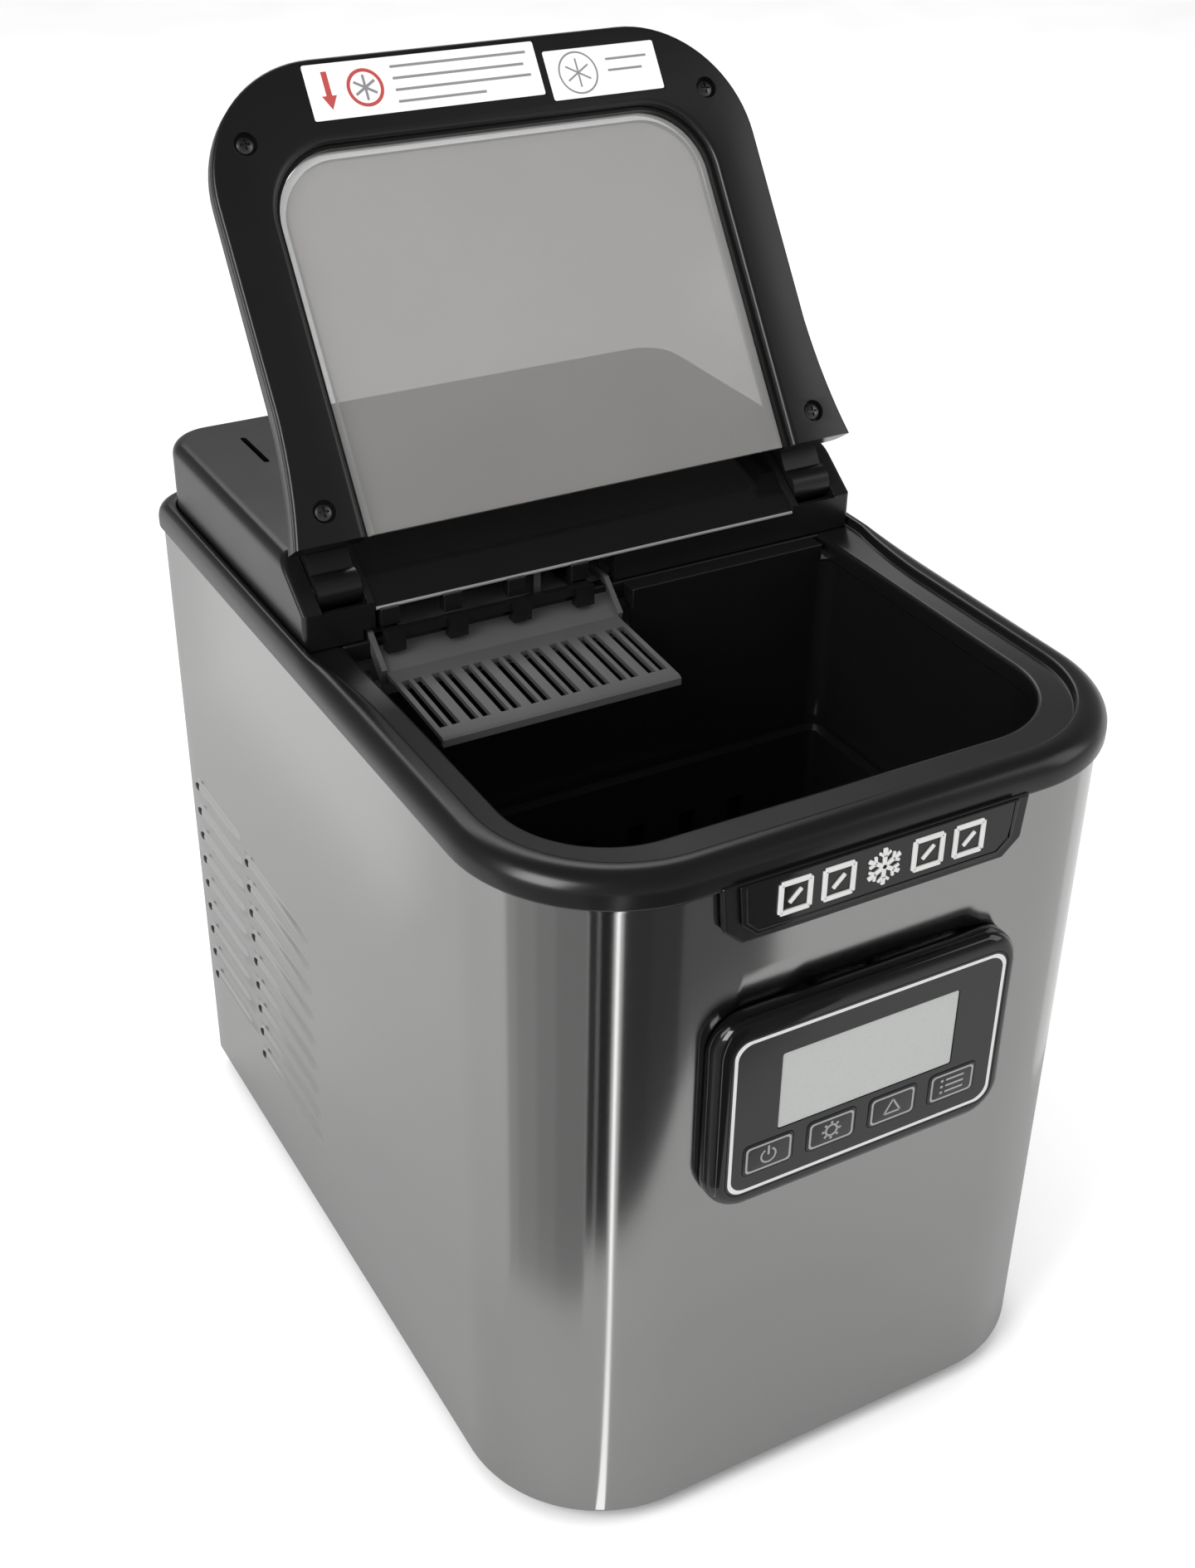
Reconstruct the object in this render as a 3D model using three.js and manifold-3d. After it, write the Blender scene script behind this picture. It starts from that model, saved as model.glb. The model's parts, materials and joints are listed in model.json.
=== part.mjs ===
// A countertop bullet-ice maker with its lid open, in millimetres, +Z up, front towards -Y.
// The origin is on the surface that it stands on, below the middle of the body.
import * as THREE from "three";
import { mergeVertices } from "three/addons/utils/BufferGeometryUtils.js";
import Module from "manifold-3d";

const wasm = await Module();
wasm.setup();

// ---- Driving dimensions ----
const GAP = 0.3; // between two pieces that touch
const FOOT_TOP = 7.7;
const BODY = { half: 122.5, front: -169, back: 169, bottom: 8, top: 286, round: 55.6, sheet: 1 };
const RIM = { half: 125, front: -171.6, back: 171.6, bottom: 286.3, top: 297.5, ledge: 293.8 };
const BIN = { half: 104, front: -145.5, back: 8, floor: 72, round: 38, wall: 9 };
const COVER = {
  half: 119,
  front: 17,
  slopeEnd: 40,
  back: 168,
  round: 18,
  bottom: 294.3,
  lip: 308.6, // the top of the upright front edge, where the slope starts
  top: 325,
};
const LOUVRE = { rows: 9, pitch: 13, height: 3, columns: [[28, 94.5, 55], [101, 153.5, 60.5]] };
const PANEL = { y: -169.3, z: 195.7, halfWidth: 61.5, halfHeight: 40.4, depth: 8.5 };
const BUTTON = { width: 20, height: 13, pitch: 25.7, first: -39.5, z: -19.2 };
const DISPLAY = { halfWidth: 36, low: -9.7, high: 22.3 };
const AXIS = { y: 27.3, z: 312.3 }; // the lid's hinge line
const LID = {
  open: 124.7, // degrees from closed
  drop: 18.3, // from the axis down to the inner face, closed
  near: 13.4, // from the axis to the lid's hinge end
  far: 186.4, // and to its front end
  half: 112.2,
  flare: 118.6,
  round: 48,
  frame: 3,
  frontDepth: 9,
  rearDepth: 13,
};
const WINDOW = { half: 91.5, far: 155.4, round: 28, low: 4.8, high: 7.4 };
const KNUCKLE = { inner: 94, outer: 111, radius: 6.5, pin: 2.5, bore: 2.8 };
const BASKET = {
  half: 101.5,
  front: -143,
  back: 4.5,
  bottom: 100,
  top: 213,
  flange: 2.5,
  wall: 2.5,
  round: 35.5,
};
const SLIDE = { left: -92, right: 5, slots: 8, thick: 2 };
const TEETH = [-85.8, -60.5, -34, -7];
const RAKE = { half: 3.8, low: 290, high: 298.2 };
const TRAY = { y: 62, z: 275, outer: 22, inner: 20, left: -98, right: 28 };
const CHAMBER = { left: -104, right: 34, floor: 236, top: 292, front: 26, back: 98, wall: 3 };
const FAN = { y: 91, z: 111, radius: 46, shroud: 55 };
const CONDENSER = { outer: -112, inner: -97, front: 32, fins: 13, pitch: 9, low: 56, high: 166 };
const COMPRESSOR = { x: 46, y: 108 };
const PUMP = { x: 50, y: 38 };
const REAR = { half: 116, inner: 164.6, outer: 167.6 }; // the sheet that closes the back
const DRAIN = { x: -55, z: 36 };
const CORD = { x: -90, z: 30 };

// ---- Materials ----
function material(color, roughness, metalness = 0, extra = {}) {
  return new THREE.MeshStandardMaterial({ color, roughness, metalness, ...extra });
}
const STEEL = material(0xa9a9a7, 0.3, 1);
const SATIN_BLACK = material(0x1b1b1c, 0.42);
const GLOSS_BLACK = material(0x0d0d0e, 0.15);
const GRAY_PLASTIC = material(0x6d6e6f, 0.45);
const PALE_PLASTIC = material(0xb9bcbc, 0.5);
const RUBBER = material(0x141414, 0.85);
const SMOKE = material(0x5a5d5d, 0.08, 0, { transparent: true, opacity: 0.5 });
const SCREEN = material(0xb9c0be, 0.2);
const PAPER = material(0xe6e4e2, 0.6);
const CHROME = material(0xc9c9c9, 0.15, 1);
const COPPER = material(0xb06a43, 0.3, 1);
const ALUMINIUM = material(0xb8babb, 0.4, 1);
const BOARD_GREEN = material(0x22543a, 0.6);

// ---- Solids ----
function solid(geometry) {
  const plain = geometry.clone();
  plain.deleteAttribute("normal");
  plain.deleteAttribute("uv");
  const merged = mergeVertices(plain, 1e-4);
  return new wasm.Manifold(
    new wasm.Mesh({
      numProp: 3,
      vertProperties: merged.attributes.position.array,
      triVerts: new Uint32Array(merged.index.array),
    }),
  );
}

function geometryOf(body) {
  const { vertProperties, triVerts } = body.getMesh();
  const geometry = new THREE.BufferGeometry();
  geometry.setAttribute("position", new THREE.BufferAttribute(vertProperties, 3));
  geometry.setIndex(new THREE.BufferAttribute(triVerts, 1));
  geometry.computeVertexNormals();
  return geometry;
}

const join = (bodies) => bodies.reduce((all, body) => all.add(body));
const cut = (body, tools) => tools.reduce((left, tool) => left.subtract(tool), body);

function block(x0, x1, y0, y1, z0, z1) {
  const geometry = new THREE.BoxGeometry(x1 - x0, y1 - y0, z1 - z0);
  return solid(geometry.translate((x0 + x1) / 2, (y0 + y1) / 2, (z0 + z1) / 2));
}

// A rectangle in plan with one radius at its front corners and another at its back corners.
function plan(x0, x1, y0, y1, front, back = front) {
  const shape = new THREE.Shape();
  shape.moveTo(x0 + front, y0);
  shape.absarc(x1 - front, y0 + front, front, -Math.PI / 2, 0);
  shape.absarc(x1 - back, y1 - back, back, 0, Math.PI / 2);
  shape.absarc(x0 + back, y1 - back, back, Math.PI / 2, Math.PI);
  shape.absarc(x0 + front, y0 + front, front, Math.PI, Math.PI * 1.5);
  return shape;
}

function polygon(points) {
  return new THREE.Shape(points.map(([x, y]) => new THREE.Vector2(x, y)));
}

function prism(shape, z0, z1, curveSegments = 4) {
  const options = { depth: z1 - z0, bevelEnabled: false, curveSegments };
  return solid(new THREE.ExtrudeGeometry(shape, options).translate(0, 0, z0));
}

// A prism whose upper edge is rounded by the given radius.
function crowned(shape, z0, z1, radius, bevelSegments = 3) {
  const options = {
    depth: z1 - z0 - radius + 1,
    bevelThickness: radius,
    bevelSize: radius,
    bevelOffset: -radius,
    bevelSegments,
    curveSegments: 4,
  };
  const whole = solid(new THREE.ExtrudeGeometry(shape, options).translate(0, 0, z0 - 1));
  return whole.subtract(block(-200, 200, -200, 200, z0 - radius - 2, z0));
}

// A side view, with points [y, z], drawn out from x0 to x1.
function sideProfile(points, x0, x1) {
  const geometry = new THREE.ExtrudeGeometry(polygon(points), { depth: x1 - x0, bevelEnabled: false });
  const turn = new THREE.Matrix4().makeBasis(
    new THREE.Vector3(0, 1, 0),
    new THREE.Vector3(0, 0, 1),
    new THREE.Vector3(1, 0, 0),
  );
  return solid(geometry.applyMatrix4(turn).translate(x0, 0, 0));
}

// A round bar along X, Y or Z, from a to b on that axis, at the other two coordinates.
function rod(axis, radius, a, b, [u, v], segments = 16) {
  const geometry = new THREE.CylinderGeometry(radius, radius, b - a, segments);
  const middle = (a + b) / 2;
  if (axis === "x") geometry.rotateZ(-Math.PI / 2).translate(middle, u, v);
  if (axis === "y") geometry.translate(u, middle, v);
  if (axis === "z") geometry.rotateX(Math.PI / 2).translate(u, v, middle);
  return solid(geometry);
}

// A turned piece about Z: profile points are [radius, height], from the axis back to the axis.
function turned(profile, segments = 20) {
  const points = profile.map(([radius, height]) => new THREE.Vector2(radius, height));
  return solid(new THREE.LatheGeometry(points, segments).rotateX(Math.PI / 2));
}

function pipe(points, radius, sides, steps) {
  const path = new THREE.CatmullRomCurve3(points.map((p) => new THREE.Vector3(...p)));
  const ring = new THREE.Shape().absarc(0, 0, radius, 0, Math.PI * 2);
  const options = { steps, extrudePath: path, curveSegments: sides / 2 };
  return solid(new THREE.ExtrudeGeometry(ring, options));
}

function add(parent, name, body, look) {
  const mesh = new THREE.Mesh(geometryOf(body), look);
  mesh.name = name;
  parent.add(mesh);
  return mesh;
}

// ---- Body ----
function feet(parent) {
  const profile = [[0, 0], [10, 0], [11, 1.5], [9.5, FOOT_TOP], [0, FOOT_TOP]];
  for (const [end, y] of [["front", -125], ["rear", 145]])
    for (const [side, x] of [["left", -92], ["right", 92]])
      add(parent, `foot_${end}_${side}`, turned(profile, 14), RUBBER).position.set(x, y, 0);
}

function basePan() {
  const half = BODY.half - BODY.sheet - GAP;
  const front = BODY.front + BODY.sheet + GAP;
  const back = REAR.inner - 0.4;
  const outer = prism(plan(-half, half, front, back, 54.3, 5), BODY.bottom, 20);
  const inner = prism(plan(2 - half, half - 2, front + 2, back - 2, 52.3, 3), BODY.bottom + 3, 30);
  return outer.subtract(inner);
}

function louvreSlots(side) {
  const slots = [];
  for (const [y0, y1, z0] of LOUVRE.columns)
    for (let row = 0; row < LOUVRE.rows; row++) {
      const z = z0 + row * LOUVRE.pitch;
      const x = side * BODY.half;
      slots.push(block(x - 4, x + 4, y0, y1, z - LOUVRE.height / 2, z + LOUVRE.height / 2));
    }
  return slots;
}

function steelWrap() {
  const { half, front, back, bottom, top, round, sheet } = BODY;
  const inside = half - sheet;
  const outer = prism(plan(-half, half, front, back, round, 6.5), bottom, top, 6);
  const hollow = plan(-inside, inside, front + sheet, back - sheet, round - sheet, 5.5);
  return cut(outer, [
    prism(hollow, bottom - 1, top + 1, 6),
    block(-110, 110, back - 8, back + 1, bottom - 1, top + 1),
    block(-48, 48, front - 2, front + 4, 168, 222),
    ...louvreSlots(-1),
    ...louvreSlots(1),
  ]);
}

function rearPanel() {
  const vents = [];
  for (let x = -72; x <= 72; x += 18)
    for (const z of [130, 200]) vents.push(block(x - 4, x + 4, 160, 170, z, z + 50));
  const holes = [
    rod("y", 7.6, 160, 170, [CORD.x, CORD.z]),
    rod("y", 9.2, 160, 170, [DRAIN.x, DRAIN.z]),
    ...panelScrewPlaces().map((place) => rod("y", 2.1, 160, 170, place, 8)),
  ];
  return cut(block(-REAR.half, REAR.half, REAR.inner, REAR.outer, 9, 285.6), [...vents, ...holes]);
}

function panelScrewPlaces() {
  return [[-102, 60], [102, 60], [-102, 265], [102, 265]];
}

function panelScrews(parent) {
  const profile = [[0, -6], [1.6, -6], [1.6, 0], [3.6, 0], [3.2, 1.6], [0, 1.9]];
  panelScrewPlaces().forEach(([x, z], index) => {
    const screw = add(parent, `panel_screw_${index + 1}`, turned(profile, 8), CHROME);
    screw.position.set(x, REAR.outer + GAP, z);
    screw.rotation.x = -Math.PI / 2;
  });
}

function rimTab() {
  const tab = polygon([[-60, 290], [-58.5, 271], [-51.5, 264.6], [51.5, 264.6], [58.5, 271], [60, 290]]);
  const geometry = new THREE.ExtrudeGeometry(tab, { depth: 3.3, bevelEnabled: false });
  return solid(geometry.rotateX(Math.PI / 2).translate(0, -169.3, 0));
}

function topRim() {
  const { half, front, back, bottom, top, ledge } = RIM;
  const whole = crowned(plan(-half, half, front, back, 58, 12), bottom, top, 7, 4);
  return cut(whole.add(rimTab()), [
    prism(lidOutline(2, AXIS.y), ledge, top + 2),
    prism(plan(-119.5, 119.5, 12, COVER.back + 0.5, 2, COVER.round + 0.5), ledge, top + 2),
    block(-121.6, 121.6, 12, 16.7, ledge, top + 2),
    block(-119.5, 119.5, 16, 30, ledge, top + 2),
    prism(plan(-BIN.half, BIN.half, BIN.front, 16, BIN.round, 4), bottom - 1, top + 2),
    prism(plan(-112, 112, 22, 160, 4, 20), bottom - 1, top + 2),
    block(-100, 12, 10, 30, bottom - 1, top + 2),
  ]);
}

function binLiner() {
  const { half, front, back, floor, round, wall } = BIN;
  const outer = prism(plan(-half - wall, half + wall, front - 8.7, back + wall, 46.7, 8), floor - 8, 286);
  return cut(outer, [
    prism(plan(-half, half, front, back, round, 6), floor, 290),
    block(-98, 12, back - 3, back + wall + 1, 274, 290),
    rod("z", 5, floor - 12, floor + 4, [-55, -12]),
  ]);
}

// ---- Control panel, in a frame with x right, y up and z out of the front ----
function buttonPlaces() {
  return [0, 1, 2, 3].map((index) => BUTTON.first + index * BUTTON.pitch);
}

function controlBezel() {
  const { halfWidth, halfHeight, depth } = PANEL;
  const body = crowned(plan(-halfWidth, halfWidth, -halfHeight, halfHeight, 14), 0, depth, 4.5);
  const pocket = prism(plan(-56.3, 56.3, -34, 34, 7), depth - 1.5, depth + 1);
  const shaft = prism(plan(-52, 52, -30, 29, 4), -1, depth + 1);
  return cut(body, [pocket, shaft]);
}

function controlOverlay() {
  const { depth } = PANEL;
  const sheet = prism(plan(-56, 56, -33.7, 33.7, 6.7), depth - 1.2, depth);
  const openings = buttonPlaces().map((x) => prism(buttonOutline(x, GAP), depth - 3, depth + 1, 2));
  const { halfWidth, low, high } = DISPLAY;
  return cut(sheet, [block(-halfWidth - GAP, halfWidth + GAP, low - GAP, high + GAP, 0, 20), ...openings]);
}

function buttonOutline(x, grow) {
  const halfWidth = BUTTON.width / 2 + grow;
  const halfHeight = BUTTON.height / 2 + grow;
  return plan(x - halfWidth, x + halfWidth, BUTTON.z - halfHeight, BUTTON.z + halfHeight, 2);
}

function button(x) {
  const cap = prism(buttonOutline(x, 0), PANEL.depth - 2.6, PANEL.depth + 0.5, 2);
  return cap.add(rod("z", 2, -4, PANEL.depth - 2, [x, BUTTON.z], 10));
}

function controlBoard() {
  const board = block(-50, 50, -30, 30, -9, -7.4);
  const switches = buttonPlaces().map((x) => block(x - 3, x + 3, BUTTON.z - 3, BUTTON.z + 3, -8, -5.2));
  return join([board, ...switches]);
}

function controls(parent) {
  const front = new THREE.Group();
  front.position.set(0, PANEL.y, PANEL.z);
  front.rotation.x = Math.PI / 2;
  parent.add(front);
  add(front, "control_bezel", controlBezel(), GLOSS_BLACK);
  add(front, "control_overlay", controlOverlay(), GLOSS_BLACK);
  const { halfWidth, low, high } = DISPLAY;
  add(front, "display", block(-halfWidth, halfWidth, low, high, 4.5, PANEL.depth - 0.3), SCREEN);
  ["power", "set", "up", "select"].forEach((name, index) =>
    add(front, `button_${name}`, button(buttonPlaces()[index]), GLOSS_BLACK),
  );
  add(front, "control_board", controlBoard(), BOARD_GREEN);
}

function namePlate() {
  const shape = polygon([[-54.5, 290], [-53, 273], [-47.5, 267.8], [47.5, 267.8], [53, 273], [54.5, 290]]);
  const geometry = new THREE.ExtrudeGeometry(shape, { depth: 1.2, bevelEnabled: false });
  return solid(geometry.rotateX(Math.PI / 2).translate(0, -172.9, 0));
}

// ---- Ice bin and ice path ----
function iceBasket() {
  const { half, front, back, bottom, top, flange, wall, round } = BASKET;
  const outline = (inset) =>
    plan(inset - half, half - inset, front + inset, back - inset, round - inset, 8 - inset);
  const parts = [prism(outline(flange), bottom, top), prism(outline(0), top - 3, top)];
  for (const x of [-84, 84])
    for (const y of [-112, -14]) parts.push(block(x - 5, x + 5, y - 5, y + 5, BIN.floor + GAP, bottom + 1));
  const openings = [prism(outline(flange + wall), bottom + wall, top + 7)];
  for (let x = -60; x <= 60; x += 24) openings.push(block(x - 4, x + 4, front - 7, back + 6, 120, 190));
  for (let y = -96; y <= -24; y += 24) openings.push(block(-half - 9, half + 9, y - 4, y + 4, 120, 190));
  for (let x = -60; x <= 60; x += 30) openings.push(block(x - 4, x + 4, -118, -24, bottom - 5, bottom + 5));
  return cut(join(parts), openings);
}

function iceSlide() {
  const { left, right, slots, thick } = SLIDE;
  const deck = [[-39.5, 281.6], [7, 284.8], [20, 293.3], [38, 295]];
  const under = deck.map(([y, z]) => [y + 0.4, z - thick]).reverse();
  const lip = [[-39.2, 278], [-41, 278], [-41, 280.8]];
  const plate = sideProfile([...deck, ...under, ...lip], left, right);
  const cheek = [[8, 279], [20, 292.5], [38, 293], [38, 297], [18, 296.5], [6, 286]];
  const cheeks = [sideProfile(cheek, left - 2, left + 0.1), sideProfile(cheek, right - 0.1, right + 2)];
  const gaps = [];
  const pitch = (right - left) / slots;
  for (let index = 0; index < slots; index++)
    for (const offset of [-2.45, 2.45]) {
      const x = left + (index + 0.5) * pitch + offset;
      gaps.push(block(x - 1.6, x + 1.6, -34, -1, 270, 290));
    }
  return cut(join([plate, ...cheeks]), gaps);
}

// The rake passes under the closed lid's window on its way out.
function iceRake() {
  const { half, low, high } = RAKE;
  const teeth = TEETH.map((x) => block(x - half, x + half, 10.5, 14.5, low, high));
  const bar = block(TEETH[0], TEETH[3], 12, 15, high - 3.6, high);
  const arms = [TEETH[0], TEETH[3]].map((x) => block(x - 3, x + 3, 13, 36, high - 2.7, high));
  return join([...teeth, bar, ...arms]);
}

function sensorBracket() {
  return join([block(-24, -21, 20.8, 23, 294.6, 306), block(-26, -19, 20.8, 32, 304.4, 306.4)]);
}

// ---- Ice-making chamber ----
function chamber() {
  const { left, right, floor, top, front, back, wall } = CHAMBER;
  const side = (x) => block(x, x + wall, front, back, floor + 2, top);
  const tub = join([block(left, right, 17.3, back, floor, floor + wall), side(left), side(right - wall)]);
  return tub.subtract(rod("x", 3.3, left - 6, right + 6, [TRAY.y, TRAY.z]));
}

// A trough that tips about its own round centre, with a stub axle at each end.
function waterTray() {
  const { y, z, outer, inner, left, right } = TRAY;
  const section = new THREE.Shape();
  section.absarc(0, 0, outer, Math.PI, Math.PI * 2);
  section.absarc(0, 0, inner, Math.PI * 2, Math.PI, true);
  const end = new THREE.Shape().absarc(0, 0, outer, Math.PI, Math.PI * 2);
  const along = (shape, x0, x1) => {
    const geometry = new THREE.ExtrudeGeometry(shape, {
      depth: x1 - x0,
      bevelEnabled: false,
      curveSegments: 6,
    });
    return solid(geometry.rotateX(Math.PI / 2).rotateZ(Math.PI / 2).translate(x0, y, z));
  };
  return join([
    along(section, left, right),
    along(end, left, left + 2),
    along(end, right - 2, right),
    rod("x", 5, left, left + 2, [y, z]),
    rod("x", 5, right - 2, right, [y, z]),
    rod("x", 3, left - 5.5, left + 1, [y, z]),
    rod("x", 3, right - 1, right + 5.5, [y, z]),
  ]);
}

function evaporator() {
  const header = block(-84, 16, TRAY.y - 4.5, TRAY.y + 4.5, 283, 289);
  const fingers = [];
  for (let index = 0; index < 8; index++)
    fingers.push(rod("z", 4.2, 262, 284, [-77 + index * 12.3, TRAY.y], 8));
  const stubs = [-60, -10].map((x) => rod("z", 3, 288, 301, [x, TRAY.y], 10));
  return join([header, ...fingers, ...stubs]);
}

function trayMotor() {
  return join([
    rod("x", 16, 34.3, 54, [TRAY.y + 14, TRAY.z - 2], 20).subtract(rod("x", 3.6, 30, 38, [TRAY.y, TRAY.z])),
    rod("x", 9, 53, 60, [TRAY.y + 14, TRAY.z - 2], 16),
  ]);
}

// ---- Cooling system ----
function compressor() {
  const shell = [[0, 14], [36, 14], [40, 20], [40, 84], [34, 100], [16, 108], [0, 109]];
  return turned(shell, 18).add(block(-38, 38, -30, 30, 11.3, 16));
}

function condenser() {
  const { outer, inner, front, fins, pitch, low, high } = CONDENSER;
  const web = outer + 4;
  const outline = [[outer, front], [inner, front]];
  for (let index = 0; index < fins; index++) {
    const y = front + index * pitch;
    outline.push([inner, y + 3], [web, y + 3], [web, y + pitch], [inner, y + pitch]);
  }
  outline.push([inner, front + fins * pitch + 3], [outer, front + fins * pitch + 3]);
  return prism(polygon(outline), low, high);
}

function fanShroud() {
  const { y, z, radius, shroud } = FAN;
  const plate = block(-90, -80, y - shroud, y + shroud, z - shroud, z + shroud);
  return plate.subtract(rod("x", radius + 4, -95, -75, [y, z], 32));
}

function fanBlades() {
  const blades = [];
  for (let index = 0; index < 6; index++) {
    const blade = new THREE.BoxGeometry(1.6, 20, 34).rotateZ(0.35).translate(0, 0, 28);
    blades.push(solid(blade.rotateX((index * Math.PI) / 3).translate(-84.8, FAN.y, FAN.z)));
  }
  const hub = rod("x", 14, -89, -80.4, [FAN.y, FAN.z], 18);
  return join([hub, ...blades]).subtract(rod("x", 2.3, -85, -80, [FAN.y, FAN.z], 12));
}

function fanMotor() {
  const { y, z, shroud } = FAN;
  const bar = block(-79.7, -77, y - shroud, y + shroud, z - 6, z + 6);
  const body = rod("x", 17, -77.5, -52, [y, z], 20);
  return join([bar, body, rod("x", 2, -84.5, -79, [y, z], 12)]);
}

function refrigerantPipe() {
  const { x, y } = COMPRESSOR;
  const upper = [[-10, TRAY.y, 304], [-10, 72, 311], [0, 100, 309], [30, 114, 290]];
  return pipe([...upper, [x, y + 2, 180], [x, y, 109.5]], 3, 8, 22);
}

// ---- Water system and rear fittings ----
function waterPump() {
  return join([
    rod("z", 16, 11.3, 40, [PUMP.x, PUMP.y], 20),
    rod("z", 10, 39, 46, [PUMP.x, PUMP.y], 16),
  ]);
}

function pumpHose() {
  const { x, y } = PUMP;
  const end = CHAMBER.right + 0.5;
  const lower = [[x, y, 46.4], [x, y - 2, 100], [x, y - 2, 240]];
  return pipe([...lower, [x - 2, y - 1, 280], [x - 8, y, 288], [end, y, 288]], 3.5, 8, 20);
}

function drainHose() {
  const { x, z } = DRAIN;
  const hose = pipe([[x, -12, 62], [x, -9, 46], [x, 10, z], [x, 80, z], [x, 168, z]], 8, 10, 22);
  return hose.subtract(rod("y", 6.2, 150, 170, [x, z], 16));
}

function drainPlug() {
  return turned([[0, -13], [4.5, -13], [5.6, -11], [5.6, 0], [11, 0], [11, 5], [9, 7], [0, 7]], 20);
}

function cordGland() {
  const outside = [[0, -7], [7, -7], [7, 0], [11, 0], [11, 2.5], [7, 3.5], [5.8, 10.4], [0, 10.4]];
  return turned(outside, 16).subtract(rod("z", 3.7, -4, 12, [0, 0], 12));
}

// ---- Rear cover ----
function coverPocket(side) {
  const at = (near, far, y0, y1, z0, z1) =>
    side > 0 ? block(near, far, y0, y1, z0, z1) : block(-far, -near, y0, y1, z0, z1);
  return {
    walls: at(91.6, 113.4, COVER.front, 48.5, 300, COVER.top),
    cuts: [
      at(93.6, 111.4, 19.5, 46, 303.6, 340),
      at(93.6, 111.4, 10, 20, 308, 340),
    ],
  };
}

function rearCover() {
  const { half, front, slopeEnd, back, bottom, lip, top, round } = COVER;
  const outside = crowned(plan(-half, half, -10, back, 8, round), bottom, top, 5).intersect(
    sideProfile([[front, 290], [front, lip], [slopeEnd, top], [180, top + 1], [180, 290]], -130, 130),
  );
  const inside = prism(plan(2.5 - half, half - 2.5, -10, back - 2.5, 5, round - 2.5), 290, 322.3).intersect(
    sideProfile([[19.5, 280], [19.5, 306], [42, 322.3], [180, 323], [180, 280]], -130, 130),
  );
  const pockets = [coverPocket(-1), coverPocket(1)];
  const shell = outside.subtract(inside).add(join(pockets.map((p) => p.walls)).intersect(outside));
  const rampTop = [[10, 302.1], [front, 307.1], [slopeEnd, 323.5], [slopeEnd, 330], [10, 330]];
  const tabs = TEETH.map((x) => block(x - RAKE.half, x + RAKE.half, 15, 19.5, RAKE.high + 0.6, 306));
  const hollowed = cut(shell, [
    ...pockets.flatMap((p) => p.cuts),
    rod("x", KNUCKLE.bore, 91.7, 116, [AXIS.y, AXIS.z]),
    rod("x", KNUCKLE.bore, -116, -91.7, [AXIS.y, AXIS.z]),
    sideProfile(rampTop, -91, 91),
    block(-91, 9, 10, 20.5, 290, 305.2),
    block(-96, 9, 10, 20.5, 290, 298.5),
    block(-92.5, -90.5, 118, 146, 310, 330),
    block(90.5, 92.5, 118, 146, 310, 330),
  ]);
  return join([hollowed, ...tabs]);
}

// ---- Lid, about its hinge line and closed: the front is towards -Y, the inner face is down ----
function lidOutline(grow = 0, shift = 0) {
  const half = LID.half + grow;
  const flare = LID.flare + grow;
  const round = LID.round + grow;
  const end = shift - LID.near;
  const centre = shift - LID.far + LID.round;
  const shape = new THREE.Shape();
  shape.moveTo(flare, end);
  shape.lineTo(-flare, end);
  shape.quadraticCurveTo(-half - 1, end - 22, -half, end - 48);
  shape.absarc(round - half, centre, round, Math.PI, Math.PI * 1.5);
  shape.absarc(half - round, centre, round, -Math.PI / 2, 0);
  shape.lineTo(half, end - 48);
  shape.quadraticCurveTo(half + 1, end - 22, flare, end);
  return shape;
}

// The window opening, which runs out past the lid's hinge end.
function windowOutline(inset) {
  const { half, far, round } = WINDOW;
  return plan(inset - half, half - inset, inset - far, 5, round - inset, 1);
}

function lidScrewPlaces() {
  return [[-96, -158.4], [96, -158.4], [-104.5, -25], [104.5, -25]];
}

function labelPlaces() {
  return [["left", -68, 26, -184, -163.2], ["right", 29, 77.5, -179.5, -160.2]];
}

function lidInnerFrame() {
  const face = -LID.drop;
  const whole = prism(lidOutline(), face, face + LID.frame);
  const holes = lidScrewPlaces().flatMap((place) => [
    rod("z", 4.3, face - 1, face + 2.3, place, 12),
    rod("z", 2.1, face - 1, face + 5, place, 8),
  ]);
  const recesses = labelPlaces().map(([, x0, x1, y0, y1]) =>
    block(x0 - GAP, x1 + GAP, y0 - GAP, y1 + GAP, face - 1, face + 0.8),
  );
  return cut(whole, [prism(windowOutline(0), face - 1, face + 5), ...holes, ...recesses]);
}

function lidShell() {
  const { drop, near, far, frame, frontDepth, rearDepth } = LID;
  const low = frame + GAP - drop;
  const front = -far - 1;
  const rear = 1 - near;
  const side = [[front, low], [rear, low], [rear, rearDepth - drop], [front, frontDepth - drop]];
  const body = prism(lidOutline(), low, 10).intersect(sideProfile(side, -130, 130));
  const holes = lidScrewPlaces().map((place) => rod("z", 2.1, low - 1, low + 4.4, place, 8));
  const frames = cut(body, [
    prism(windowOutline(1.5), low - 1, WINDOW.high + GAP - drop),
    prism(windowOutline(6), low - 1, 20),
    ...holes,
  ]);
  const arm = [[0, -2.8], [0, 5.7], [-15, 5.7], [-44, -6], [-44, -9], [-17, -9], [-13.4, -2.8]];
  const knuckles = [-1, 1].flatMap((side) => {
    const [x0, x1] = [side * KNUCKLE.inner, side * KNUCKLE.outer].sort((a, b) => a - b);
    return [rod("x", KNUCKLE.radius, x0, x1, [0, 0], 20), sideProfile(arm.toReversed(), x0, x1)];
  });
  return join([frames, ...knuckles]).subtract(rod("x", KNUCKLE.bore, -120, 120, [0, 0]));
}

function lidWindow() {
  const sheet = prism(windowOutline(1.8), WINDOW.low - LID.drop, WINDOW.high - LID.drop);
  return sheet.subtract(block(-100, 100, -LID.near - 0.6, 20, -20, 20));
}

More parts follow.
